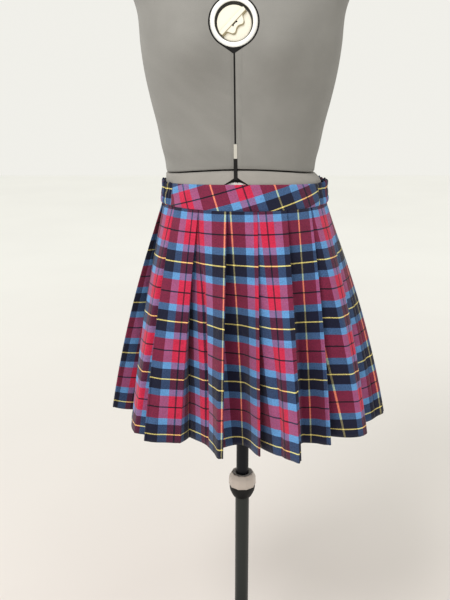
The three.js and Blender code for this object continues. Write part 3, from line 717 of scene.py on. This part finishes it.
def swellDepth(place, down):
    if place["across"] is None:
        return 0
    swell = 0
    for crest in bluntCrests:
        if crest["pleat"] == place["pleat"]:
            swell += crest["depth"] * bump(place["across"], crest["across"], crest["width"])
    return swell * smooth((down - 0.35) / 0.6) * smooth((1 - place["across"]) / 0.05)


def creaseRadius(down):
    return mix(skirtShape["creaseTop"], skirtShape["creaseHem"], smooth(down * 1.2) * down)


def flatAt(place, down):
    # the stripes' own place across: the ease is taken up under the turned pleat, and more cloth lies round
    # the edge of a crease as its radius grows
    shape = skirtShape
    past = (place["flat"] - creaseFlat(shape["turnedPleat"]) - shape["creaseTop"]) / shape["turnedFlat"]
    flat = place["flat"] + shape["matchEase"] * (1 - min(1, max(0, past)))
    if place["turn"] is not None:
        flat -= (creaseRadius(down) - shape["creaseTop"]) * math.cos(place["turn"])
    return flat


def clothRow(places, down):
    shape = skirtShape
    middles = []
    swing = down * (1.35 - 0.35 * down)  # the skirt flares a little more at the top than lower down
    for place in places:
        share = swing ** place["lag"]
        x, y = mixPoint(place["seam"], place["hem"], share)
        middles.append(Vector((x, y, shape["seamHeight"] - down * place["drop"])))
    row = [point.copy() for point in middles]
    i = 0
    while i < len(places):
        if places[i]["turn"] is None:
            if 0 < i < len(places) - 1:
                direction = (middles[i + 1] - middles[i - 1]).xy.normalized()
                row[i] += Vector((direction.y, -direction.x, 0)) * foldDepth(places[i], down)
                row[i] += Vector((*middles[i].xy.normalized(), 0)) * swellDepth(places[i], down)
            i += 1
            continue
        # the rounded edge of a crease: five points round half a circle
        back = (middles[i - 1] - middles[i]).xy.normalized()
        on = (middles[i + 5] - middles[i]).xy.normalized()
        apart = (back - on).normalized()
        edge = -(back + on) / 2
        radius = creaseRadius(down) * min(1, 0.5 + (back - on).length * 0.6)
        for k in range(5):
            turn = places[i + k]["turn"]
            step = (apart * math.cos(turn) + edge * (math.sin(turn) - smooth(down * 1.2))) * radius
            row[i + k] = middles[i] + Vector((step.x, step.y, 0))
        i += 5
    return row


def makePanel(name, start, end, node):
    shape = skirtShape
    places = stationsBetween(start + shape["gap"] / 2, end - shape["gap"] / 2)
    rows = [(i / (shape["rows"] - 1)) ** 1.12 for i in range(shape["rows"])]  # closer together at the top
    points, uvs = [], []
    for down in rows:
        points += clothRow(places, down)
        uvs += [(flatAt(place, down), -down * shape["length"]) for place in places]
    piece = makePiece(name, points, gridFaces(len(rows), len(places)), skirtCloth, uvs, 75)
    # the turned-up hem is twice as thick, but for the creases, where the press flattens it
    weights = piece.vertex_groups.new(name="layers")
    nearCrease = [any(places[j]["turn"] is not None for j in range(max(0, i - 2), min(len(places), i + 3)))
                  for i in range(len(places))]
    for r, down in enumerate(rows):
        inHem = down * shape["length"] > shape["length"] - shape["hemDepth"]
        for c in range(len(places)):
            weights.add([r * len(places) + c], 1.0 if inHem and not nearCrease[c] else 0.5, "REPLACE")
    thicken(piece, 2 * shape["cloth"], "layers")
    settle(piece, "figure", "tartan_cloth", node)
    return piece, places


def makeHemStitches(name, places):
    # small blind stitches that hold the hem, each a short bar of thread
    looks = dict(every=0.0075, long=0.0022, thick=0.00028, up=0.0185, out=0.0009)
    row = clothRow(places, 1 - looks["up"] / skirtShape["length"])
    points, faces = [], []
    last = -math.inf
    for i in range(1, len(places) - 1):
        place = places[i]
        if place["turn"] is not None or place["across"] is None or place["flat"] - last < looks["every"]:
            continue
        last = place["flat"]
        direction = (row[i + 1] - row[i - 1]).normalized()
        outwards = Vector((direction.y, -direction.x, 0)).normalized()
        middle = row[i] + outwards * looks["out"]
        first = len(points)
        for end in (-1, 1):
            tip = middle + direction * end * looks["long"] / 2 - outwards * 0.0001
            for k in range(5):
                turn = 2 * math.pi * k / 5
                around = Vector((0, 0, 1)) * math.cos(turn) + outwards * math.sin(turn)
                points.append(tip + around * looks["thick"])
        for k in range(5):
            m = (k + 1) % 5
            faces.append((first + k, first + m, first + 5 + m, first + 5 + k))
        faces += [tuple(first + k for k in reversed(range(5))), tuple(first + 5 + k for k in range(5))]
    return settle(makePiece(name, points, faces, threadDark), "figure", "tartan_cloth")


sideSeams = [creaseFlat(n) - turns * pleatCount * pleatFlat - skirtShape["seamBeforeCrease"]
             for n, turns in ((16, 1), (8, 0), (16, 0))]
skirtFront, frontPlaces = makePanel("skirtFront", sideSeams[0], sideSeams[1], "skirt_front")
skirtBack, backPlaces = makePanel("skirtBack", sideSeams[1], sideSeams[2], "skirt_back")
frontStitches = makeHemStitches("frontHemStitches", frontPlaces)
backStitches = makeHemStitches("backHemStitches", backPlaces)
print("skirt panels made:", len(frontPlaces), "and", len(backPlaces), "points across")

# waistbands
bandShape = {
    "topFront": 1.036,  # contoured: the top is lower at the sides
    "topSide": 1.030,
    "bottom": 0.9963,
    "frontHalf": 0.134,
    "out": 0.0004,
    "lean": 0.0049,  # the top is this much closer in than the bottom
    "thick": 0.0015,
    "gathers": 42,  # ridges round the elastic
    "gatherDepth": 0.0036,
    "frill": 0.0016,  # the gathered top edge stands up and down by this much
    "warpTilt": math.radians(20),  # the front band is cut on the bias and a little skewed
    "weftTilt": math.radians(16),
    "biasEase": 0.95,  # bias-cut cloth stretches a little along the band
    "fullness": 1.75,  # how closely the gathers draw the stripes together
}


def bandPoint(along, share, out):
    # share is 0 at the band's top and 1 at its seam
    shape = bandShape
    roll = 0.0008 * (bump(share, 0, 0.03) + bump(share, 1, 0.035))
    x, y = aroundWaist(along, shape["out"] - shape["lean"] * (1 - share) + out - roll)
    facingFront = (y / math.hypot(y, x * skirtShape["halfDepth"] / skirtShape["halfWidth"])) ** 2
    return x, y, mix(mix(shape["topSide"], shape["topFront"], facingFront), shape["bottom"], share)


bandShares = [0, 0.012, 0.03, 0.06, 0.10, 0.16, 0.24, 0.33, 0.42, 0.5, 0.58, 0.67, 0.76, 0.84, 0.90, 0.94,
              0.97, 0.988, 1]


def makeFrontBand():
    shape = bandShape
    columns = 150
    points, uvs = [], []
    for share in bandShares:
        for i in range(columns):
            along = mix(-1, 1, i / (columns - 1)) * (shape["frontHalf"] - skirtShape["gap"] / 2)
            nearEnd = bump(abs(along), shape["frontHalf"], 0.018)
            pull = 0.0006 * nearEnd * math.sin(9 * share + along * 160)
            ease = 0.0004 * math.sin(along * 55 + 3 * share) * math.sin(math.pi * share)
            points.append(bandPoint(along, share, pull + ease))
            up = (1 - share) * (shape["topFront"] - shape["bottom"])
            warp = along * math.cos(shape["warpTilt"]) + up * math.sin(shape["warpTilt"])
            weft = along * math.sin(shape["weftTilt"]) - up * math.cos(shape["weftTilt"])
            uvs.append((warp * shape["biasEase"], weft))
    piece = makePiece("waistbandFront", points, gridFaces(len(bandShares), columns), bandCloth, uvs, 75)
    thicken(piece, shape["thick"])
    return settle(piece, "figure", "tartan_cloth", "waistband_front")


def gatherPlaces():
    # uneven gathers: each ridge has its own width and depth
    shape = bandShape
    count = shape["gathers"]
    widths = [1 + 0.34 * math.sin(2.4 * i) + 0.22 * math.sin(5.1 * i + 1) for i in range(count)]
    depths = [1 + 0.30 * math.sin(3.7 * i + 0.6) + 0.15 * math.sin(7.9 * i) for i in range(count)]
    total = sum(widths)
    starts, reached = [], 0
    for width in widths:
        starts.append(reached / total)
        reached += width
    return starts, [w / total for w in widths], depths


def makeBackBand():
    shape = bandShape
    starts, widths, depths = gatherPlaces()
    perGather = 12
    columns = shape["gathers"] * perGather + 1
    gap = skirtShape["gap"] / 2
    begin, end = shape["frontHalf"] + gap, waistRound - shape["frontHalf"] - gap
    points, uvs = [], []
    for share in bandShares:
        edge = 1 - abs(2 * share - 1) ** 6
        for c in range(columns):
            g = min(c // perGather, shape["gathers"] - 1)
            t = (c - g * perGather) / perGather
            place = starts[g] + widths[g] * t
            meander = 0.12 * math.sin(6 * share + 1.9 * g) * math.sin(math.pi * t)
            ridge = 0.5 - 0.5 * math.cos(2 * math.pi * (t + meander))
            depth = mix(depths[g], depths[(g + 1) % len(depths)], t) * shape["gatherDepth"]
            ends = smooth(min(c, columns - 1 - c) / perGather)
            pinch = 1 - 0.18 * bump(share, 0.33, 0.06) - 0.18 * bump(share, 0.67, 0.06)
            nearTop = bump(share, 0, 0.16)
            out = ends * depth * ridge ** 0.8 * (0.3 + 0.7 * edge + 0.7 * nearTop) * pinch
            along = mix(begin, end, place)
            x, y, z = bandPoint(along, share, out)
            points.append((x, y, z + ends * nearTop * shape["frill"] * (2 * ridge * depths[g] - 0.6)))
            up = (1 - share) * (shape["topFront"] - shape["bottom"])
            uvs.append((along * shape["fullness"] + 0.0012 * ridge, -up))
    piece = makePiece("waistbandBack", points, gridFaces(len(bandShares), columns), elasticCloth, uvs, 75)
    thicken(piece, shape["thick"] * 0.8)
    return settle(piece, "figure", "tartan_cloth", "waistband_back")


waistbandFront = makeFrontBand()
waistbandBack = makeBackBand()
print("waistbands made")

# dress form
formShape = {
    "jointHeight": 1.045,  # the middle of the waist joint at the sides
    "chestMiddle": -0.007,
    "frontLineWaist": -0.0157,  # the line of the dials leans a little to the viewer's left on its way up
    "frontLineLean": -0.017,
    "bustHeight": 1.238,
    "bustTall": 0.056,
    "bustAcross": 0.064,
    "bustSpread": 0.046,
    "bustDepth": 0.019,
    "columns": 176,
    "ringStep": 0.0045,
    "groove": 0.009,
    "thinGroove": 0.0026,
    "wideGroove": 0.006,
    "clipBottom": 1.075,
    "clipTop": 1.097,
}
# rise: how much higher a section is at the middle of the front and the back
hipSections = table("z halfWidth front back middle square rise", [
    (0.866, 0.124, 0.094, 0.096, 0, 2),
    (0.872, 0.128, 0.097, 0.099, 0, 2),
    (0.900, 0.1285, 0.097, 0.099, 0, 2),
    (0.940, 0.1275, 0.0955, 0.097, 0, 2),
    (0.975, 0.1265, 0.0945, 0.095, 0, 2),
    (0.996, 0.127, 0.0945, 0.095, 0, 2),
    (1.012, 0.128, 0.0975, 0.0975, 0, 2),
    (1.034, 0.1255, 0.096, 0.096, -0.0025, 2),
    (1.0437, 0.121, 0.0935, 0.093, -0.007, 2, 0.013),
])
chestSections = table("z halfWidth front back middle square rise", [
    (1.0463, 0.120, 0.094, 0.092, -0.007, 2.05, 0.013),
    (1.066, 0.1225, 0.095, 0.093, -0.007, 2.05),
    (1.085, 0.127, 0.097, 0.095, -0.007, 2.1),
    (1.120, 0.1335, 0.100, 0.099, -0.007, 2.15),
    (1.160, 0.143, 0.104, 0.104, -0.007, 2.2),
    (1.200, 0.151, 0.108, 0.108, -0.007, 2.25),
    (1.240, 0.156, 0.111, 0.111, -0.007, 2.3),
    (1.280, 0.1585, 0.109, 0.112, -0.007, 2.35),
    (1.300, 0.163, 0.105, 0.112, -0.007, 2.35),
    (1.325, 0.173, 0.098, 0.111, -0.007, 2.35),
    (1.360, 0.180, 0.086, 0.106, -0.007, 2.3),
    (1.390, 0.176, 0.073, 0.097, -0.007, 2.2),
    (1.412, 0.152, 0.062, 0.086, -0.007, 2.1),
    (1.428, 0.112, 0.055, 0.075, -0.007, 2),
    (1.442, 0.076, 0.052, 0.065, -0.007, 2),
    (1.460, 0.057, 0.050, 0.057, -0.007, 2),
    (1.490, 0.053, 0.050, 0.053, -0.007, 2),
    (1.520, 0.0525, 0.051, 0.052, -0.007, 2),
])
dialShape = {
    "pocket": 0.0364,
    "ring": 0.0344,
    "hole": 0.0273,
    "disc": 0.0247,
    "deep": 0.015,
    "ringThick": 0.006,
    "chestHeight": 1.268,
    "hipHeight": 1.0045,
    "proud": 0.001,
    "sunk": 0.007,
    "wedge": 0.0432,  # the pocket draws out to a point at the groove, this far from the dial's middle
}


def sectionAt(sections, z):
    # a smooth curve through the table's rows
    heights = [s["z"] for s in sections]
    i = min(max(1, bisect.bisect_left(heights, z)), len(sections) - 1)
    a, b = sections[i - 1], sections[i]
    t = (z - a["z"]) / (b["z"] - a["z"])
    before = sections[max(0, i - 2)]
    after = sections[min(len(sections) - 1, i + 1)]
    found = {"z": z, "rise": mix(a.get("rise", 0), b.get("rise", 0), smooth(t))}
    span = b["z"] - a["z"]
    for key in ("halfWidth", "front", "back", "middle", "square"):
        slopeA = (b[key] - before[key]) / (b["z"] - before["z"])
        slopeB = (after[key] - a[key]) / (after["z"] - a["z"])
        found[key] = (
            (2 * t**3 - 3 * t**2 + 1) * a[key] + (t**3 - 2 * t**2 + t) * span * slopeA
            + (3 * t**2 - 2 * t**3) * b[key] + (t**3 - t**2) * span * slopeB
        )
    return found


def frontLine(z):
    return formShape["frontLineWaist"] + formShape["frontLineLean"] * (z - formShape["jointHeight"])


def frontAt(z):
    shape = formShape
    rows = [(s["z"] + s.get("rise", 0), s["front"]) for s in hipSections + chestSections]
    i = min(max(1, bisect.bisect_left([row[0] for row in rows], z)), len(rows) - 1)
    (z0, front0), (z1, front1) = rows[i - 1], rows[i]
    depth = mix(front0, front1, (z - z0) / (z1 - z0))
    return depth + shape["bustDepth"] * bump(z, shape["bustHeight"], shape["bustTall"]) * bump(
        shape["bustAcross"], 0, shape["bustSpread"])


def formRing(section, grooveHalf=0, inset=0):
    # one ring of the skin; the jersey rolls a little into the groove on the front line
    shape = formShape
    ring = []
    columns = shape["columns"]
    for i in range(columns):
        t = i / columns
        # closer together at the front
        angle = -math.pi / 2 + 2 * math.pi * t - 0.82 * math.sin(2 * math.pi * t)
        c, s = math.cos(angle), math.sin(angle)
        z = section["z"] + section.get("rise", 0) * s * s
        power = 2 / section["square"]
        depth = section["front"] if s < 0 else section["back"]
        x = section["middle"] + (section["halfWidth"] - inset) * math.copysign(abs(c) ** power, c)
        y = (depth - inset) * math.copysign(abs(s) ** power, s)
        if s < 0:
            fromLine = abs(x - frontLine(z))
            y -= shape["bustDepth"] * bump(z, shape["bustHeight"], shape["bustTall"]) * bump(
                fromLine, shape["bustAcross"], shape["bustSpread"])
            if grooveHalf:
                y += 0.0012 * bump(max(0, fromLine - grooveHalf), 0, 0.0030)
        ring.append((x, y, z))
    return ring


def closedLoft(name, rings, material, jersey=False):
    # rings of points joined into a closed solid; jersey lies flat by its length round and its height
    columns = len(rings[0])
    points = [point for ring in rings for point in ring]
    faces = []
    for first in range(0, len(points) - columns, columns):
        for c in range(columns):
            a, b = first + c, first + (c + 1) % columns
            faces.append((a, b, b + columns, a + columns))
    faces += [tuple(reversed(range(columns))), tuple(range(len(points) - columns, len(points)))]
    if not jersey:
        return makePiece(name, points, faces, material)
    uvs = []
    for ring in rings:
        along = 0
        for c, point in enumerate(ring):
            along += math.dist(point, ring[c - 1]) if c else 0
            uvs.append((along, point[2]))
    return makePiece(name, points, faces, material, uvs, 50)


def cutAway(piece, tool):
    cut = piece.modifiers.new("cut", "BOOLEAN")
    cut.object = tool
    cut.solver = "EXACT"
    bpy.context.view_layer.objects.active = piece
    bpy.ops.object.modifier_apply(modifier=cut.name)
    bpy.data.objects.remove(tool)


def facingFront(front, z):
    # the frame of a dial: its own +Z runs into the form
    return Matrix.Translation((frontLine(z), -front, z)) @ Matrix.Rotation(-math.pi / 2, 4, "X")


def dropOutline(radius, tip, side):
    # a circle drawn out to a point; side is 1 for a point below and -1 for one above
    steps = 72
    reach = math.acos(radius / tip)
    angles = [math.pi / 2 + reach + (2 * math.pi - 2 * reach) * i / steps for i in range(steps + 1)]
    return [*[(radius * math.cos(a), side * radius * math.sin(a)) for a in angles], (0, side * tip)]


def prism(name, outline, z0, z1, material):
    piece = closedLoft(name, [[(x, y, z) for x, y in outline] for z in (z0, z1)], material)
    faceOutwards(piece)
    return piece


def slabRings(width, z0, z1, down, deep):
    # sections of a slab on the front line that follows the form's front skin at a depth below it
    steps = max(2, round((z1 - z0) / 0.004))
    rings = []
    for i in range(steps + 1):
        z = mix(z0, z1, i / steps)
        x, y = frontLine(z), down - frontAt(z)
        rings.append([(x - width / 2, y, z), (x + width / 2, y, z), (x + width / 2, y + deep, z),
                      (x - width / 2, y + deep, z)])
    return rings


def makeBlock(name, sections, grooves, material, dialHeight, dialFront, side):
    # grooves: width, bottom and top of each stretch of the groove
    shape = formShape
    low, high = sections[0]["z"], sections[-1]["z"]
    steps = round((high - low) / shape["ringStep"])
    places = [(low, 0.0016), (low + 0.0005, 0.0006), (low + 0.0014, 0.0001)]
    places += [(mix(low, high, i / steps), 0) for i in range(1, steps)]
    places += [(high - 0.0014, 0.0001), (high - 0.0005, 0.0006), (high, 0.0016)]
    rings = []
    for z, inset in places:
        near = [width for width, bottom, top in grooves if bottom < z < top]
        rings.append(formRing(sectionAt(sections, z), near[0] / 2 if near else 0, inset))
    piece = closedLoft(name, rings, material, jersey=True)
    for width, bottom, top in grooves:
        rings = slabRings(width, bottom, top, -0.008, shape["groove"] + 0.008)
        cutAway(piece, closedLoft("grooveTool", rings, material))
    outline = dropOutline(dialShape["pocket"], dialShape["wedge"], side)
    tool = prism("pocketTool", outline, -0.03, dialShape["deep"], material)
    tool.data.transform(facingFront(dialFront, dialHeight))
    cutAway(piece, tool)
    softShade(piece, 50)
    return piece


lineTop = dialShape["chestHeight"] - dialShape["pocket"]
chestGrooves = [
    (formShape["thinGroove"], formShape["clipTop"] - 0.001, lineTop + 0.001),
    (formShape["wideGroove"], formShape["jointHeight"] - 0.001, formShape["clipTop"]),
]
hipGrooves = [(formShape["wideGroove"], dialShape["hipHeight"] + 0.018, formShape["jointHeight"] + 0.014)]
chestFront = frontAt(dialShape["chestHeight"]) + dialShape["proud"]
hipFront = frontAt(dialShape["hipHeight"]) - dialShape["sunk"]
chestBlock = makeBlock("chestBlock", chestSections, chestGrooves, chestJersey, dialShape["chestHeight"],
                       chestFront, 1)
settle(chestBlock, "figure", "grey_jersey", "chest")
hipBlock = makeBlock("hipBlock", hipSections, hipGrooves, hipJersey, dialShape["hipHeight"], hipFront, -1)
settle(hipBlock, "figure", "grey_jersey", "hip")
print("form blocks made")


def makeStrip(name, width, z0, z1, down, material, node, slot):
    rings = slabRings(width - 0.0006, z0, z1, down, formShape["groove"] - 0.0003 - down)
    piece = closedLoft(name, rings, material)
    softenEdges(piece, 0.0003)
    settle(piece, "figure", slot, node)


makeStrip("frontStrip", formShape["thinGroove"], formShape["clipTop"] + 0.0003, lineTop - 0.004, 0.0022,
          blackPlastic, "front_strip", "black_plastic")
makeStrip("frontClip", formShape["wideGroove"], formShape["clipBottom"], formShape["clipTop"] - 0.0003,
          0.0012, paleClip, "front_clip", "cream_plastic")
makeStrip("frontBridge", formShape["wideGroove"], dialShape["hipHeight"] + dialShape["pocket"] + 0.002,
          formShape["clipBottom"] - 0.0003, 0.0012, blackPlastic, "front_bridge", "black_plastic")


def makeDial(name, z, front, side):
    d = dialShape
    place = facingFront(front, z)
    ring = turnedPiece(name + "Ring", [
        (d["hole"], 0.0016), (d["hole"] + 0.0005, 0.0005), (d["hole"] + 0.0016, 0), (d["ring"] - 0.0022, 0),
        (d["ring"] - 0.0007, 0.0005), (d["ring"], 0.0018), (d["ring"], d["ringThick"]),
        (d["hole"] + 0.0016, d["ringThick"]), (d["hole"] + 0.0016, 0.0024), (d["hole"], 0.0024),
    ], whitePlastic, 128, place)
    settle(ring, "figure", "white_plastic", name.replace("Dial", "_dial_ring"))
    top = 0.0062  # the knob's face lies this far inside the ring
    # the knob sits a little low and to one side in its well, and its raised parts widen towards their feet
    knobPlace = place @ Matrix.Translation((0.0009, 0.0023, 0))
    splay = (0.50, 0.62)
    raised = (knobPlace @ Matrix.Translation((-splay[0] * top, -splay[1] * top, 0))
              @ Matrix.Shear("XY", 4, splay))
    disc = turnedPiece(name + "Disc", [
        (0, top + 0.0004), (0.012, top + 0.0002), (d["disc"] - 0.003, top),
        (d["disc"] - 0.0010, top + 0.0002), (d["disc"], top + 0.0010), (d["disc"], 0.0092), (0, 0.0092),
    ], creamPlastic, 112, knobPlace)
    settle(disc, "figure", "cream_plastic", name.replace("Dial", "_dial_knob"))
    # the grip: a raised half disc with a slanting bar along its edge, and a waved flange with a slot below
    slant = Matrix.Rotation(math.radians(-46), 4, "Z")
    half = d["disc"] - 0.0008
    angles = [math.pi * (0.02 + 0.96 * i / 28) for i in range(29)]
    arc = [(half * math.cos(a), -half * math.sin(a)) for a in angles]
    plateau = prism(name + "Plateau", arc, top - 0.0020, top + 0.0006, creamPlastic)
    wave = []
    for i in range(33):
        x = mix(0.0165, -0.0165, i / 32)
        ends = smooth(min(i, 32 - i) / 5)
        waves = 0.0060 + 0.0030 * bump(x, 0.0080, 0.0040) + 0.0034 * bump(x, -0.0085, 0.0046)
        wave.append((x, 0.0016 + ends * waves))
    flange = prism(name + "Flange", [(-0.0165, 0.0004), (0.0165, 0.0004), *wave], top - 0.0030, top + 0.0006,
                   creamPlastic)
    barOutline = [(-half - 0.0004, -0.0040), (half + 0.0004, -0.0040), (half, 0.0016), (-half, 0.0016)]
    bar = prism(name + "Bar", barOutline, top - 0.0044, top + 0.0006, creamPlastic)
    # the slot is a thin black piece in place of a deep recess: painted shade
    slotOutline = [(-0.0046, 0.0022), (-0.0036, 0.0013), (0.0036, 0.0013), (0.0046, 0.0022),
                   (0.0046, 0.0036), (0.0032, 0.0040), (0.0022, 0.0028), (-0.0022, 0.0028),
                   (-0.0032, 0.0040), (-0.0046, 0.0036)]
    slot = prism(name + "Slot", slotOutline, top - 0.0033, top - 0.0024, blackPlastic)
    for part, edge in ((plateau, 0.0005), (flange, 0.0005), (bar, 0.0006), (slot, 0)):
        part.data.transform(raised @ slant)
        if edge:
            part.data.materials.append(tanPlastic)  # painted shade: the side walls lie in shade, so they get a darker tan copy of the cream
            for face in part.data.polygons:
                face.material_index = 1 if abs(face.normal.y) < 0.9 else 0
            softenEdges(part, edge, 3)
        settle(part, "figure", "cream_plastic" if edge else "black_plastic")
    # the housing: a well behind the knob, and a rim round the ring that runs to a point at the groove
    well = turnedPiece(name + "Well", [
        (d["pocket"] - 0.0003, d["ringThick"] + 0.0003),
        (d["pocket"] - 0.0003, d["deep"] - 0.0003), (0, d["deep"] - 0.0003), (0, 0.0096),
        (d["hole"] + 0.0001, 0.0096), (d["hole"] + 0.0001, 0.0026), (d["hole"] + 0.0012, 0.0026),
        (d["hole"] + 0.0012, d["ringThick"] + 0.0003),
    ], wellPlastic, 112, place)
    settle(well, "figure", "black_plastic", name.replace("Dial", "_dial_housing"))
    outer = dropOutline(d["pocket"] - 0.0003, d["wedge"] - 0.0006, side)
    inner = dropOutline(d["ring"] + 0.0002, d["ring"] + 0.0003, side)
    count = len(outer)
    points = [(x, y, z) for z in (0.0015, d["ringThick"]) for x, y in outer + inner]
    faces = []
    for i in range(count):
        j = (i + 1) % count
        for a, b in ((0, count), (3 * count, 2 * count), (2 * count, 0), (count, 3 * count)):
            faces.append((a + i, a + j, b + j, b + i))
    rim = makePiece(name + "Rim", points, faces, blackPlastic)
    faceOutwards(rim)
    rim.data.transform(place)
    settle(rim, "figure", "black_plastic")


makeDial("chestDial", dialShape["chestHeight"], chestFront, 1)
makeDial("hipDial", dialShape["hipHeight"], hipFront, -1)


def makeWaistPlate():
    # the joint's own outline drawn in towards its middle
    rings = []
    for side in (-1, 1):
        section = {**hipSections[-1], "z": formShape["jointHeight"] + side * 0.0008}
        ring = [Vector(p) for p in formRing(section)]
        middle = sum(ring, Vector()) / len(ring)
        rings.append([tuple(middle.lerp(p, 0.86)) for p in ring])
    piece = closedLoft("waistPlate", rings, blackPlastic)
    return settle(piece, "figure", "black_plastic", "waist_plate")


makeWaistPlate()
neckTop = chestSections[-1]["z"]
neckCap = turnedPiece("neckCap", [
    (0, neckTop + 0.0003), (0.048, neckTop + 0.0003), (0.0496, neckTop + 0.0022), (0.050, neckTop + 0.0045),
    (0.0496, neckTop + 0.0090), (0.0470, neckTop + 0.0118), (0.036, neckTop + 0.0138),
    (0.018, neckTop + 0.0154), (0, neckTop + 0.016),
], blackPlastic, 96, Matrix.Translation((formShape["chestMiddle"], 0, 0)))
settle(neckCap, "figure", "black_plastic", "neck_cap")
print("dials and trim made")

# stand
standShape = {
    "upper": 0.0111,  # the poles' radii
    "lower": 0.0127,
    "bore": 0.0115,
    "upperFrom": 0.26,  # the heights of the upper pole's ends
    "upperTo": 0.938,
    "collar": 0.462,  # the height of the lower pole's top
    "base": 0.205,
    "gap": 0.0003,
}


def makeStand():
    s = standShape
    collar, gap, base = s["collar"], s["gap"], s["base"]
    settle(turnedPiece("upperPole", [
        (0, s["upperFrom"]), (s["upper"], s["upperFrom"]), (s["upper"], s["upperTo"]), (0, s["upperTo"]),
    ], upperSteel, 64), "mast", "dark_steel", "pole_upper")
    settle(turnedPiece("lowerPole", [
        (s["bore"], 0.0193), (s["lower"], 0.0193), (s["lower"], collar - 0.0006),
        (s["lower"] - 0.0006, collar), (s["bore"], collar),
    ], darkSteel, 64), "stand", "dark_steel", "pole_lower")
    r = s["lower"] + gap
    settle(turnedPiece("collarCup", [
        (r, collar - 0.016), (0.0165, collar - 0.0145), (0.0180, collar - 0.012), (0.0205, collar - 0.007),
        (0.0225, collar - 0.002), (0.0234, collar + 0.003), (0.0236, collar + 0.008), (r, collar + 0.008),
    ], blackPlastic), "stand", "black_plastic", "collar_cup")
    # the nut is ten-sided, with a grey ring in its top and two fine grip lines round it
    z = collar + 0.008 + gap
    r = s["bore"] + 0.0006
    settle(turnedPiece("clampNut", [
        (r, z), (0.0243, z), (0.0249, z + 0.0012), (0.0248, z + 0.008), (0.0245, z + 0.0160),
        (0.0236, z + 0.0190), (0.0206, z + 0.0245), (0.0190, z + 0.0252), (0.0176, z + 0.0235),
        (r, z + 0.0222),
    ], milkyPlastic, 10, edge=0.0005), "nut", "milky_plastic", "collar_nut")
    settle(turnedPiece("nutRing", [
        (0.0125, z + 0.0224), (0.0168, z + 0.0236), (0.0166, z + 0.0252), (0.0150, z + 0.0256),
        (0.0125, z + 0.0248),
    ], greyRing), "nut", "milky_plastic")
    for name, at in (("nutGripA", z + 0.0012), ("nutGripB", z + 0.0022)):
        line = [(0.0232, at), (0.0250, at + 0.0003), (0.0250, at + 0.0007), (0.0232, at + 0.0010)]
        settle(turnedPiece(name, line, milkyPlastic, 10, edge=0), "nut", "milky_plastic")
    r = s["lower"] + gap
    settle(turnedPiece("baseBoss", [
        (r, 0.0193), (0.022, 0.0193), (0.0222, 0.0205), (0.0212, 0.058), (0.0205, 0.0628), (0.0190, 0.064),
        (r, 0.064),
    ], blackPlastic), "stand", "black_plastic", "base_boss")
    settle(turnedPiece("basePlate", [
        (0, 0), (base - 0.003, 0), (base - 0.0009, 0.0009), (base, 0.003), (base, 0.0075),
        (base - 0.0012, 0.0098), (base - 0.004, 0.011), (0.13, 0.0150), (0.060, 0.019), (0, 0.019),
    ], darkSteel, 160), "stand", "dark_steel", "base")
    r = s["upper"] + gap
    settle(turnedPiece("formSocket", [
        (r, 0.838), (0.0232, 0.838), (0.0262, 0.8402), (0.027, 0.8425), (0.027, 0.8505), (0.0262, 0.852),
        (r, 0.852),
    ], blackPlastic), "figure", "black_plastic", "form_socket")


makeStand()
print("stand made")


# stage, light and camera
def makeStage():
    # the floor's colour is a little darker round the stand, painted shade, and the room as pale as the far
    # floor
    looks = dict(floorPaintedShade=fromScreen(222, 215, 211), floorFar=fromScreen(252, 252, 249), near=0.42, far=3.9,
                 room=(0.985, 0.975, 0.92, 1), roomStrength=0.89, size=16)
    half = looks["size"] / 2
    material, tree, shader = newMaterial("paleFloor")
    place = addNode(tree, "TexCoord", {}).outputs["Object"]
    away = addNode(tree, "VectorMath", {0: place}, operation="LENGTH").outputs["Value"]
    # painted shade: the floor's colour darkens from far away towards the stand
    share = addRange(tree, addMath(tree, "SQRT", away), looks["near"] ** 0.5, looks["far"] ** 0.5, 0, 1)
    pale = addMix(tree, share, looks["floorPaintedShade"], looks["floorFar"])
    cloud = addRange(tree, addNoise(tree, place, 1.2, 2), 0.3, 0.7, 0.985, 1.015)
    feed(tree, shader, {"Base Color": addScale(tree, pale, cloud), "Roughness": 0.9})
    corners = [(-half, -half, 0), (half, -half, 0), (half, half, 0), (-half, half, 0)]
    makePiece("floor", corners, [(0, 1, 2, 3)], material)
    room = bpy.data.worlds.new("paleRoom")
    room.use_nodes = True
    background = room.node_tree.nodes["Background"]
    background.inputs[0].default_value = looks["room"]
    background.inputs[1].default_value = looks["roomStrength"]
    bpy.context.scene.world = room


def makeLight():
    # one broad light from above and in front, at the skirt's right side
    looks = dict(place=(-1.0, -1.6, 3.0), target=(0, 0, 1.0), size=1.0, power=48, colour=(1.0, 0.99, 0.975))
    data = bpy.data.lights.new("windowLight", "AREA")
    data.shape = "DISK"
    data.size = looks["size"]
    data.energy = looks["power"]
    data.color = looks["colour"]
    light = bpy.data.objects.new("windowLight", data)
    light.location = looks["place"]
    light.rotation_mode = "QUATERNION"
    light.rotation_quaternion = (Vector(looks["target"]) - light.location).to_track_quat("-Z", "Y")
    bpy.context.scene.collection.objects.link(light)


def makeCamera():
    looks = dict(side=-0.032, back=1.25, height=1.20, down=16.7, lens=45.6)
    data = bpy.data.cameras.new("camera")
    data.lens = looks["lens"]
    data.sensor_width = 36
    camera = bpy.data.objects.new("camera", data)
    camera.location = (looks["side"], -looks["back"], looks["height"])
    camera.rotation_euler = (math.radians(90 - looks["down"]), 0, 0)
    bpy.context.scene.collection.objects.link(camera)
    bpy.context.scene.camera = camera


makeStage()
makeLight()
makeCamera()
bpy.context.scene.view_settings.view_transform = "Standard"
print("stage made")
